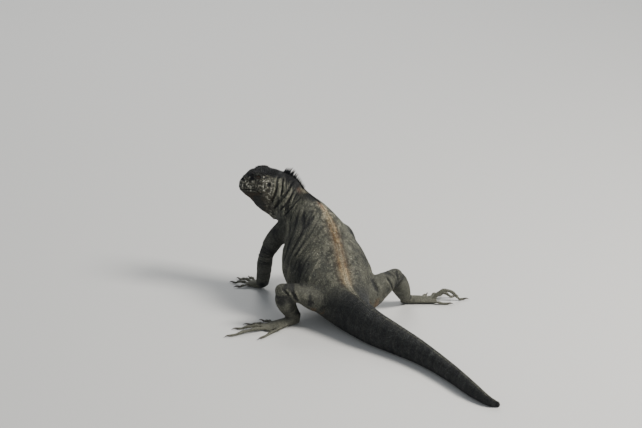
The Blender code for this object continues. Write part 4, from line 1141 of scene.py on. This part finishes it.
def skin_samples(data, spacing, rng):
    """Points spread at random over a mesh, about spacing apart before any are dropped."""
    data.calc_loop_triangles()
    corners = np.empty(len(data.loop_triangles) * 3, np.int32)
    data.loop_triangles.foreach_get("vertices", corners)
    a, b, c = coordinates(data)[corners.reshape(-1, 3)].transpose(1, 0, 2)
    area = 0.5 * np.linalg.norm(np.cross(b - a, c - a), axis=1)
    count = int(area.sum() / spacing ** 2)
    chosen = rng.choice(len(area), count, p=area / area.sum())
    u, v = rng.random((2, count, 1))
    flip = u + v > 1
    u, v = np.where(flip, 1 - u, u), np.where(flip, 1 - v, v)
    return a[chosen] + (b - a)[chosen] * u + (c - a)[chosen] * v


# The head's scales: their pitch and height, and how much larger both are on the crown and the jowl
HEAD_SIZE, HEAD_HIGH = 0.00120, 0.00044
CROWN_MORE, CROWN_HIGHER = 0.00105, 0.00125
JOWL_MORE, JOWL_HIGHER = 0.00080, 0.00025


def head_look(points):
    """The head's scales' spacing, height, lean and point."""
    along, across, up = head_coordinates(points)
    out = np.abs(across)
    size = np.full(len(points), HEAD_SIZE)
    high = np.full(len(points), HEAD_HIGH)
    lean, peak = np.full(len(points), 0.10), np.full(len(points), 0.15)
    crown = smoothstep(0.0080, 0.0112, up) * smoothstep(0.000, 0.004, along)
    crown *= 1 - smoothstep(0.036, 0.042, along)
    size += CROWN_MORE * crown
    high += CROWN_HIGHER * crown
    lean += 0.20 * crown
    peak += 0.75 * crown
    snout = smoothstep(0.034, 0.039, along) * smoothstep(-0.001, 0.002, up)
    size += 0.00030 * snout * (1 - crown)
    high += 0.00018 * snout
    jowl = bump(np.hypot(along - 0.0130, up + 0.0125), 0.0060) * (out > 0.010)
    size += JOWL_MORE * jowl
    high += JOWL_HIGHER * jowl
    eye = bump(from_spot(along, up, EYE), 0.0046) * (out > 0.008)
    size -= 0.00055 * eye * (1 - 0.8 * crown)
    high = high * (1 - 0.55 * eye)
    ear = (1 - smoothstep(0.6, 0.95, from_spot(along, up, EAR) / EAR[2])) * (out > 0.008)
    high *= 1 - 0.97 * ear
    near = bump(nostril_distance(along, out, up), 0.0024)
    size -= 0.00060 * near
    high *= 1 - 0.6 * near
    return np.maximum(size, 0.00058), np.maximum(high, 0.00002), lean, peak


def in_the_way(points):
    """Which points lie in a place that stays bare: between the lids or in the mouth's groove."""
    along, across, up = head_coordinates(points)
    above, beyond = mouth_distance(along, up)
    bare = (np.abs(above) < 0.00055) & (beyond < 0.0004) & (along < 0.06) & (np.abs(across) < 0.03)
    bare |= nostril_distance(along, np.abs(across), up) < 0.00135
    for side in (LEFT, RIGHT):
        away, a, b, outer = round_eye(points, side)
        bare |= outer & (away < 0.0055) & (opening_depth(a, b)[0] > -0.00034)
    return bare


OFF_SKIN = 0.0024  # a scale in a row further off than this from the skin is dropped
FILL_SPACING = 0.00058  # how close the random places lie that fill what the rows leave bare
ROOM_FROM_ROWS, ROOM_BETWEEN = 0.74, 0.80  # the least gaps round a filling scale, as shares of its size


def scale_roots(skin, lofts, chart):
    """Where each scale grows: in rows along the trunk and limbs, and scattered over the head and joints."""
    rng = np.random.default_rng(SEED)
    tree = skin_tree(skin.data)
    faces = [face.vertices[0] for face in skin.data.polygons]
    smooth_normals = normals(skin.data)
    rows = [rows_of_scales(item, number, rng) for number, item in enumerate(lofts) if item.kind != "head"]
    rows = np.concatenate([rows_of_labials(lofts)] + rows)
    hits = [tree.find_nearest(p) for p in rows[:, :3].tolist()]
    keep = np.array([hit[3] for hit in hits]) < OFF_SKIN
    rows, hits = rows[keep], [hit for hit, kept in zip(hits, keep) if kept]
    on_skin = np.array([tuple(hit[0]) for hit in hits])
    # What the rows leave bare is filled at random, the largest first
    extra = skin_samples(skin.data, FILL_SPACING, rng)
    place = chart.places(extra)
    kinds = kinds_of(lofts, place.loft)
    head = kinds == "head"
    size, high, lean, peak = head_look(extra)
    size = np.where(head, size, np.array([PITCH[kind] for kind in kinds]) * 0.95)
    high, lean, peak = np.where(head, high, 0.00031), np.where(head, lean, 0.18), np.where(head, peak, 0.25)
    rows_tree = kd_tree(on_skin)
    gap = np.array([rows_tree.find(p)[2] for p in extra.tolist()])
    keep = np.flatnonzero(gap > ROOM_FROM_ROWS * size)
    keep = keep[np.argsort(-size[keep] * head[keep], kind="stable")]
    keep = keep[apart(extra[keep], ROOM_BETWEEN * size[keep])]
    extra, size, high, lean, peak = (column[keep] for column in (extra, size, high, lean, peak))
    place = picked(place, keep)
    aim = np.zeros((len(extra), 3))
    for number, item in enumerate(lofts):
        mine = np.flatnonzero(place.loft == number)
        row = np.clip(np.searchsorted(item.run, place.run[mine]) - 1, 0, len(item.run) - 2)
        step = (place.angle[mine] * item.rings.shape[1]).astype(int) % item.rings.shape[1]
        aim[mine] = unit(item.rings[row + 1, step] - item.rings[row, step]) * (-1 if item.backward else 1)
    hits += [tree.find_nearest(p) for p in extra.tolist()]
    # Those that fill are as large as the room they have
    points = np.concatenate([on_skin, extra])
    every = kd_tree(points)
    room = np.array([np.mean([near[2] for near in every.find_n(p, 6)[1:]]) for p in extra.tolist()])
    size = np.clip(room, 0.0005, 0.0028) * np.where(size < 0.001, 0.95, 1.0)
    reach = np.concatenate([0.66 * rows[:, 6], np.full(len(extra), 0.0003)])
    keep = np.flatnonzero(apart(points, reach) & ~in_the_way(points))
    columns = Roots(
        point=points,
        normal=smooth_normals[[faces[hit[2]] for hit in hits]],
        back=np.concatenate([rows[:, 3:6], aim]),
        wide=np.concatenate([rows[:, 6], size]),
        long=np.concatenate([rows[:, 7], size]),
        high=np.concatenate([rows[:, 8], high]),
        loft=np.concatenate([rows[:, 11].astype(int), place.loft]),
        tone=rng.normal(0, 1, len(points)),
        keel=np.concatenate([rows[:, 9], lean]) + rng.uniform(-0.06, 0.10, len(points)),
        peak=np.concatenate([rows[:, 10], peak]),
    )
    return picked(columns, keep)


GRAIN_SIDES = 6
SINK = 0.00022  # how deep a scale's foot lies in the skin
UV_NAME = "OFBake"
PATCH = 0.0030  # a scale's width on the unwrap
MOST_SCALES = 9000  # in one piece
SCALE_REACH = 0.57  # half a scale's size as a share of its pitch, so that neighbours meet
EDGE_WIDE, EDGE_HIGH = 0.74, 0.66  # how wide and how high a scale's upper edge is
PEAK_SLIM = 0.36  # how far a pointed scale's upper edge is drawn in


def grain_template():
    """A scale on a unit disc: its points as how far back, aside and high, and its faces."""
    turn = ring_angles(GRAIN_SIDES)
    ring = np.stack([np.cos(turn), np.sin(turn)], 1)
    points = [(x, y, 0.0) for x, y in ring]
    points += [(EDGE_WIDE * x, EDGE_WIDE * y, EDGE_HIGH) for x, y in ring]
    points.append((0.0, 0.0, 1.0))
    n = GRAIN_SIDES
    faces = [(k, (k + 1) % n, n + (k + 1) % n, n + k) for k in range(n)]
    faces += [(n + k, n + (k + 1) % n, 2 * n) for k in range(n)]
    faces.append(tuple(reversed(range(n))))
    return np.array(points), faces


def filled(uv):
    """One piece's places on the unwrap, stretched to fill it."""
    low, high = uv.min(0), uv.max(0)
    return 0.01 + 0.98 * (uv - low) / np.maximum(high - low, 1e-6)


def unwrap(data, uv, loops):
    """Gives a coat piece its map for the bake, from each point's place on it."""
    layer = data.uv_layers.new(name=UV_NAME)
    layer.data.foreach_set("uv", uv[loops].astype(np.float32).ravel())


def coat_piece(name, roots, colours, uv, finish):
    """One mesh of many scales, each with its patch on the unwrap."""
    shape, template = grain_template()
    count, each = len(roots.point), len(shape)
    back = unit(roots.back - roots.normal * (roots.back * roots.normal).sum(1, keepdims=True))
    aside = np.cross(roots.normal, back)
    slim = np.where(shape[:, 2] == EDGE_HIGH, 1 - PEAK_SLIM * roots.peak[:, None], 1.0)
    x = shape[None, :, 0] * slim + roots.keel[:, None] * shape[None, :, 2]
    y = shape[None, :, 1] * slim
    z = shape[None, :, 2] * (roots.high[:, None] + SINK) - SINK
    points = roots.point[:, None] + back[:, None] * (x * roots.long[:, None] * SCALE_REACH)[..., None]
    points = points + aside[:, None] * (y * roots.wide[:, None] * SCALE_REACH)[..., None]
    points = off_floor(points + roots.normal[:, None] * z[..., None], 0.00002)
    sizes = np.array([len(face) for face in template])
    loops = np.concatenate([np.array(face) for face in template])
    all_loops = (np.arange(count)[:, None] * each + loops[None]).ravel()
    starts = np.concatenate([[0], np.cumsum(np.tile(sizes, count))[:-1]])
    data = bpy.data.meshes.new(name)
    data.vertices.add(count * each)
    data.vertices.foreach_set("co", points.reshape(-1).astype(np.float32))
    data.loops.add(len(all_loops))
    data.loops.foreach_set("vertex_index", all_loops.astype(np.int32))
    data.polygons.add(len(starts))
    data.polygons.foreach_set("loop_start", starts.astype(np.int32))
    data.update(calc_edges=True)
    data.shade_smooth()
    # Painted shade at its foot and a painted highlight on its top
    shade = np.where(shape[:, 2] == 0, 0.40, np.where(shape[:, 2] < 1, 0.95, 1.15))
    set_colour(data, np.clip(colours[:, None] * shade[None, :, None], 0, 1).reshape(-1, 3))
    unwrap(data, (uv[:, None] + shape[None, :, :2] * PATCH / 2).reshape(-1, 2), all_loops)
    data.materials.append(finish)
    return linked(name, data)


# Finishes
def nodes_of(name, roughness, specular):
    made = bpy.data.materials.new(name)
    made.use_nodes = True
    shader = made.node_tree.nodes["Principled BSDF"]
    shader.inputs["Roughness"].default_value = roughness
    shader.inputs["Specular IOR Level"].default_value = specular
    return made, made.node_tree, shader


def link(tree, start, end):
    tree.links.new(start, end)


def noise_node(tree, size, detail, stretch=(1, 1, 1)):
    """A noise texture fixed to the object, with features about size across."""
    where = tree.nodes.new("ShaderNodeTexCoord")
    mapped = tree.nodes.new("ShaderNodeMapping")
    mapped.inputs["Scale"].default_value = stretch
    texture = tree.nodes.new("ShaderNodeTexNoise")
    texture.inputs["Scale"].default_value = 1 / size
    texture.inputs["Detail"].default_value = detail
    link(tree, where.outputs["Object"], mapped.inputs["Vector"])
    link(tree, mapped.outputs["Vector"], texture.inputs["Vector"])
    return texture


def multiplied(tree, first, second):
    tint = tree.nodes.new("ShaderNodeMix")
    tint.data_type = "RGBA"
    tint.blend_type = "MULTIPLY"
    tint.inputs["Factor"].default_value = 1.0
    link(tree, first, tint.inputs["A"])
    link(tree, second, tint.inputs["B"])
    return tint.outputs["Result"]


def ranged(tree, source, start, end, low=0.3, high=0.7):
    """A value stretched from low to high on to start to end. Its usual range is a noise's."""
    node = tree.nodes.new("ShaderNodeMapRange")
    for name, value in (("From Min", low), ("From Max", high), ("To Min", start), ("To Max", end)):
        node.inputs[name].default_value = value
    link(tree, source, node.inputs["Value"])
    return node.outputs["Result"]


def skin_finish(name, roughness):
    """Dry, granular hide: the painted colour, broken up finely, with a fine grain in its relief."""
    made, tree, shader = nodes_of(name, roughness, 0.28)
    hue = tree.nodes.new("ShaderNodeAttribute")
    hue.attribute_name = "hue"
    grain = noise_node(tree, 0.0009, 3.0)
    dust = noise_node(tree, 0.006, 4.0)
    broken = ranged(tree, grain.outputs["Fac"], 0.72, 1.28)
    link(tree, multiplied(tree, hue.outputs["Color"], broken), shader.inputs["Base Color"])
    dull = ranged(tree, dust.outputs["Fac"], roughness - 0.10, roughness + 0.10)
    link(tree, dull, shader.inputs["Roughness"])
    relief = tree.nodes.new("ShaderNodeBump")
    relief.inputs["Strength"].default_value = 0.35
    relief.inputs["Distance"].default_value = 0.0002
    link(tree, grain.outputs["Fac"], relief.inputs["Height"])
    link(tree, relief.outputs["Normal"], shader.inputs["Normal"])
    return made


# Painted shade: the skin keeps only this share of its colour, so the gaps between its scales look shaded
GAP_SHADE = 0.48  # how much of its colour the skin keeps in the gaps between its scales


def dress_skin(lofts, chart):
    skin, places, relief, courses = make_skin(lofts, chart)
    colour = paint(coordinates(skin.data), places, relief, lofts)
    # Painted shade in the gaps between the scales
    set_colour(skin.data, colour * GAP_SHADE)
    skin.data.materials.clear()
    skin.data.materials.append(skin_finish("hide", 0.66))
    flesh = [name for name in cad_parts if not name.startswith(("eye_", "claw_"))]
    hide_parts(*flesh)
    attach(skin, "root")
    return skin, courses


def slot_of(part):
    trunk = dict.fromkeys(("tail", "torso", "neck"), "trunk_skin")
    return {**trunk, "head": "head_skin"}.get(part, "limb_skin")


def dress_scales(skin, lofts, chart, courses):
    roots = scale_roots(skin, lofts, chart)
    places = chart.places(roots.point)
    relief = body_relief(roots.point, places, lofts, courses)
    colours = paint(roots.point, places, relief, lofts)
    kinds = kinds_of(lofts, roots.loft)
    up = head_coordinates(roots.point)[2]
    stray = np.where(kinds == "trunk", 0.26, 0.14)
    stray = np.where((kinds == "head") & (up > -0.006) & (up < 0.0085), 0.38, stray)
    colours = np.clip(colours * np.exp(stray * roots.tone)[:, None], 0.003, LIGHTEST)
    uv = unwrapped(lofts, places)
    finish = skin_finish("scale", 0.60)
    parts = {
        "tail": (kinds == "trunk") & (places.t < TAIL_ROOT),
        "torso": (kinds == "trunk") & (places.t >= TAIL_ROOT) & (places.t < SHOULDERS),
        "neck": (kinds == "trunk") & (places.t >= SHOULDERS),
        "head": kinds == "head",
        "legs": np.isin(kinds, LEGS),
        "arms": np.isin(kinds, ARMS),
        "paws": np.isin(kinds, PAWS),
    }
    total = 0
    for part, chosen in parts.items():
        chosen = np.flatnonzero(chosen)
        chosen = chosen[np.argsort(places.run[chosen], kind="stable")]
        pieces = max(math.ceil(len(chosen) / MOST_SCALES), 1)
        for number, some in enumerate(np.array_split(chosen, pieces), 1):
            name = f"scales_{part}_{number}"
            made = coat_piece(name, picked(roots, some), colours[some], filled(uv[some]), finish)
            slot_of(part)
            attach(made, "root")
        total += len(chosen)
    print("scales", total)


# Crest, claws and eyes
def cone_shell(rows, sides):
    """Points and faces of a tapered form closed at both ends, from rows of a centre and two scaled axes."""
    points, faces = [], []
    for centre, a, b in rows:
        for k in range(sides):
            turn = 2 * math.pi * k / sides
            points.append(centre + a * math.cos(turn) + b * math.sin(turn))
    for row in range(len(rows) - 1):
        for k in range(sides):
            n = (k + 1) % sides
            faces.append((row * sides + k, row * sides + n, (row + 1) * sides + n, (row + 1) * sides + k))
    faces.append(tuple(reversed(range(sides))))
    faces.append(tuple(range((len(rows) - 1) * sides, len(rows) * sides)))
    return points, faces


def spine_rows(foot, up, along, height, thick):
    """A flat-sided spine that curves back and narrows to its point."""
    rows = []
    tall = height > TALL_SPINE
    long = 0.09 * height + 0.0006 if tall else 0.24 * height + 0.0004
    for share in SPINE_SHARES:
        grown = max(share, 0.0)
        wide = 1 - grown ** (1.2 if tall else 1.35) * 0.93
        centre = foot + up * height * share - along * height * 0.28 * grown ** 2
        rows.append((centre, along * long * wide, np.cross(up, along) * thick * wide))
    return rows


def spine_colour(t, chance):
    """Black on the nape, shoulders and tail, and cream to rust between them."""
    on_back = between(t, 8.9, 9.3, 13.6, 14.0)
    rusty = bump(t - 10.9, 1.3) * chance.random() * 1.2
    bead = mix(np.array([CREAM]), np.array([RUST]), min(rusty, 0.9))
    light = on_back * (0.65 + 0.35 * chance.random())
    return mix(np.array([INK]), bead, light)[0]


def spine_patch(trunk, t):
    """The places on the unwrap of the points of a spine at place t."""
    u = trunk.chart[0] + (trunk.chart[2] - trunk.chart[0]) * np.interp(t, trunk.t, trunk.run) / trunk.run[-1]
    v = trunk.chart[1] + PATCH / 2
    found = []
    for row in range(len(SPINE_SHARES)):
        reach = PATCH / 2 * (1 - row / (len(SPINE_SHARES) + 1))
        for k in range(SPINE_SIDES):
            turn = 2 * math.pi * k / SPINE_SIDES
            found.append((u + reach * math.cos(turn), v + reach * math.sin(turn)))
    return found


def dress_crest(lofts):
    """The crest's spines down the neck, back and tail, as one coat piece."""
    chance = random.Random(7)
    points, faces, uvs, colours = [], [], [], []
    # Painted shade at each spine's foot, and painted light making it lighter towards its point
    shades = np.repeat(0.8 + 0.5 * np.arange(len(SPINE_SHARES)) / len(SPINE_SHARES), SPINE_SIDES)
    for start, end, number, high, low in CREST:
        for i in range(number):
            share = min(max((i + 0.3 * (chance.random() - 0.5)) / (number - 1), 0.0), 1.0)
            t = start + (end - start) * share
            s = rows_at(BODY, t)[0]
            forward, right, up = facing(s[3], s[4], s[5])
            middle = math.sin(math.pi * min(share * 1.5 + 0.12, 1.0))
            swell = 1.0 if high < TALL_SPINE else 0.72 + 0.32 * middle
            height = (high + (low - high) * share) * swell * (0.90 + 0.22 * chance.random())
            foot = s[:3] + up * (s[7] - 0.0004)
            lean = right * (0.10 * (chance.random() - 0.5))
            thick = 0.11 * height + 0.0004
            rows = spine_rows(foot, unit(up + lean), forward, height, thick)
            more, more_faces = cone_shell(rows, SPINE_SIDES)
            faces += [tuple(len(points) + k for k in face) for face in more_faces]
            points += more
            colours.append(np.clip(spine_colour(t, chance) * shades[:, None], 0, LIGHTEST))
            uvs += spine_patch(lofts[0], t)
    made = new_object("crest", points, faces)
    set_colour(made.data, np.concatenate(colours))
    unwrap(made.data, np.array(uvs), read_values(made.data.loops, "vertex_index", 1, np.int32).ravel())
    made.data.shade_smooth()
    made.data.materials.append(skin_finish("spine", 0.52))
    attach(made, "root")


def claw_finish():
    made, tree, shader = nodes_of("horn", 0.34, 0.5)
    streak = noise_node(tree, 0.0012, 4.0, (1.0, 1.0, 0.35))
    ramp = tree.nodes.new("ShaderNodeValToRGB")
    ramp.color_ramp.elements[0].color = (*HORN, 1)
    ramp.color_ramp.elements[0].position = 0.38
    ramp.color_ramp.elements[1].color = (*HORN_PALE, 1)
    ramp.color_ramp.elements[1].position = 0.72
    link(tree, streak.outputs["Fac"], ramp.inputs["Fac"])
    link(tree, ramp.outputs["Color"], shader.inputs["Base Color"])
    link(tree, ranged(tree, streak.outputs["Fac"], 0.26, 0.46), shader.inputs["Roughness"])
    return made


CLAW_STEPS, CLAW_SIDES = 14, 14
CLAW_FLAT = 0.66  # a claw's width as a share of its height


def claw_rows(end, forward, right, up, length):
    """A claw's rings from inside the digit's end, hooked down towards the floor."""
    rows = []
    for share in np.linspace(-0.28, 0.985, CLAW_STEPS):
        grown = max(share, 0.0)
        size = CLAW_RADIUS * (1 - grown) ** 0.8 * (1.0 if share > -0.1 else 0.8)
        centre = end + forward * length * share
        drop = (CLAW_CLEARANCE + size - end[2]) * grown ** 2
        centre[2] = end[2] + 0.0006 * math.sin(math.pi * grown) + drop
        rows.append((centre, right * size * CLAW_FLAT, up * size))
    return rows


def dress_claws():
    finish = claw_finish()
    for (kind, soles), side in itertools.product(SOLES.items(), (LEFT, RIGHT)):
        for number, digit, arch in digits_of(kind, side):
            end = digit_path(soles[side], side, digit, arch, np.array([1.0]))[0][0]
            axes = facing(-side * (soles[side].turn + digit.splay))
            points, faces = cone_shell(claw_rows(end, *axes, CLAW_LENGTH[kind]), CLAW_SIDES)
            name = f"claw_{kind}_{SIDES[side]}_{number}"
            made = new_object(name + "_fine", off_floor(np.array(points), CLAW_CLEARANCE * 0.5), faces)
            made.data.shade_smooth()
            made.data.materials.append(finish)
            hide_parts(name)
            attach(made, "root")


def eye_finish(side):
    """A dark brown iris round a black pupil, by the distance from the eye's own axis."""
    made, tree, shader = nodes_of("eye_" + SIDES[side], 0.16, 0.30)
    where = tree.nodes.new("ShaderNodeTexCoord")
    shift = tree.nodes.new("ShaderNodeVectorMath")
    shift.operation = "DISTANCE"
    pupil = on_head(EYE[0] + 0.0002, side * (EYE_ACROSS + EYE_RADIUS), EYE[1])
    shift.inputs[1].default_value = pupil.tolist()
    link(tree, where.outputs["Object"], shift.inputs[0])
    ramp = tree.nodes.new("ShaderNodeValToRGB")
    stops = [(0.0, (0.001, 0.001, 0.001)), (0.26, (0.001, 0.001, 0.001)), (0.30, (0.030, 0.016, 0.007)),
             (0.50, (0.016, 0.008, 0.004)), (0.62, (0.003, 0.002, 0.002)), (1.0, (0.002, 0.002, 0.002))]
    while len(ramp.color_ramp.elements) < len(stops):
        ramp.color_ramp.elements.new(0.5)
    for element, (place, colour) in zip(ramp.color_ramp.elements, stops):
        element.position = place
        element.color = (*colour, 1)
    link(tree, ranged(tree, shift.outputs["Value"], 0.0, 1.0, 0.0, EYE_RADIUS), ramp.inputs["Fac"])
    fleck = noise_node(tree, 0.0005, 3.0)
    flecks = ranged(tree, fleck.outputs["Fac"], 0.7, 1.5)
    link(tree, multiplied(tree, ramp.outputs["Color"], flecks), shader.inputs["Base Color"])
    shader.inputs["Coat Weight"].default_value = 0.12
    shader.inputs["Coat Roughness"].default_value = 0.06
    return made


def dress_eyes():
    for side in (LEFT, RIGHT):
        centre = on_head(EYE[0], side * EYE_ACROSS, EYE[1])
        mesh = bmesh.new()
        bmesh.ops.create_uvsphere(mesh, u_segments=48, v_segments=32, radius=EYE_RADIUS)
        forward, right, high = facing(HEAD_TURN, HEAD_PITCH)
        axes = Matrix(np.column_stack([forward, high, right * side]).tolist()).to_4x4()
        placed = Matrix.Translation(Vector(centre.tolist())) @ axes
        bmesh.ops.transform(mesh, matrix=placed, verts=mesh.verts)
        bmesh.ops.recalc_face_normals(mesh, faces=mesh.faces)
        data = bpy.data.meshes.new("eyeball_" + SIDES[side])
        mesh.to_mesh(data)
        mesh.free()
        data.shade_smooth()
        data.materials.append(eye_finish(side))
        made = linked("eyeball_" + SIDES[side], data)
        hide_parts("eye_" + SIDES[side])
        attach(made, "root")


# The stage
CAMERA_TURN, CAMERA_DOWN, CAMERA_AWAY, CAMERA_LENS = 24.0, 21.0, 2.81, 150.0
AIM_AT, AIM_PIXEL = (0.0, 0.0, 0.046), (349.0, 288.0)  # a point of the body and where the picture shows it
PICTURE = (642, 428)
FLOOR_HALF, FLOOR_COLOUR = 6, (0.60, 0.60, 0.59, 1)
SKY, SKY_POWER = (0.90, 0.95, 1.0, 1), 0.36
LIT = (0.0, 0.05, 0.05)  # what the lights aim at
# Each light's name, place, size, power and colour
LIGHTS = [("key", (0.95, -0.80, 1.30), 0.50, 50.0, (1.0, 0.96, 0.89)),
          ("fill", (-1.4, -1.2, 0.8), 1.4, 3.0, (0.92, 0.96, 1.0)),
          ("back", (0.4, 1.5, 1.3), 0.9, 16.0, (1.0, 0.99, 0.97))]


def set_camera():
    """A long lens behind the animal and to its left, which shows AIM_AT at AIM_PIXEL."""
    forward = np.array([math.sin(math.radians(CAMERA_TURN)), math.cos(math.radians(CAMERA_TURN)), 0])
    down = math.radians(CAMERA_DOWN)
    right = np.array([forward[1], -forward[0], 0])
    look = forward * math.cos(down) - np.array([0, 0, math.sin(down)])
    up = forward * math.sin(down) + np.array([0, 0, math.cos(down)])
    camera = linked("camera", bpy.data.cameras.new("camera"))
    camera.data.lens = CAMERA_LENS
    per_pixel = CAMERA_AWAY * camera.data.sensor_width / CAMERA_LENS / PICTURE[0]
    aside = (AIM_PIXEL[0] - PICTURE[0] / 2) * per_pixel
    above = (PICTURE[1] / 2 - AIM_PIXEL[1]) * per_pixel
    place = np.array(AIM_AT) - look * CAMERA_AWAY - right * aside - up * above
    turned = Matrix(np.column_stack([right, up, -look]).tolist()).to_4x4()
    camera.matrix_world = Matrix.Translation(Vector(place.tolist())) @ turned
    camera.data.clip_start, camera.data.clip_end = 0.05, 50
    bpy.context.scene.camera = camera


def stage():
    set_camera()
    corners = [(x * FLOOR_HALF, y * FLOOR_HALF, 0) for x, y in ((-1, -1), (1, -1), (1, 1), (-1, 1))]
    floor = new_object("floor", corners, [(0, 1, 2, 3)])
    pale, _, shader = nodes_of("floor", 0.75, 0.3)
    shader.inputs["Base Color"].default_value = FLOOR_COLOUR
    floor.data.materials.append(pale)

    world = bpy.data.worlds.new("studio")
    bpy.context.scene.world = world
    world.use_nodes = True
    world.node_tree.nodes["Background"].inputs["Color"].default_value = SKY
    world.node_tree.nodes["Background"].inputs["Strength"].default_value = SKY_POWER
    for name, place, size, power, colour in LIGHTS:
        light = linked(name, bpy.data.lights.new(name, "AREA"))
        light.data.size = size
        light.data.energy = power
        light.data.color = colour
        light.location = place
        towards = Vector(LIT) - Vector(place)
        light.rotation_euler = towards.to_track_quat("-Z", "Y").to_euler()


def main():
    stage()
    lofts = make_lofts()
    chart = Chart(lofts)
    skin, courses = dress_skin(lofts, chart)
    dress_scales(skin, lofts, chart, courses)
    dress_crest(lofts)
    dress_claws()
    dress_eyes()
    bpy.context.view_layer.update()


main()
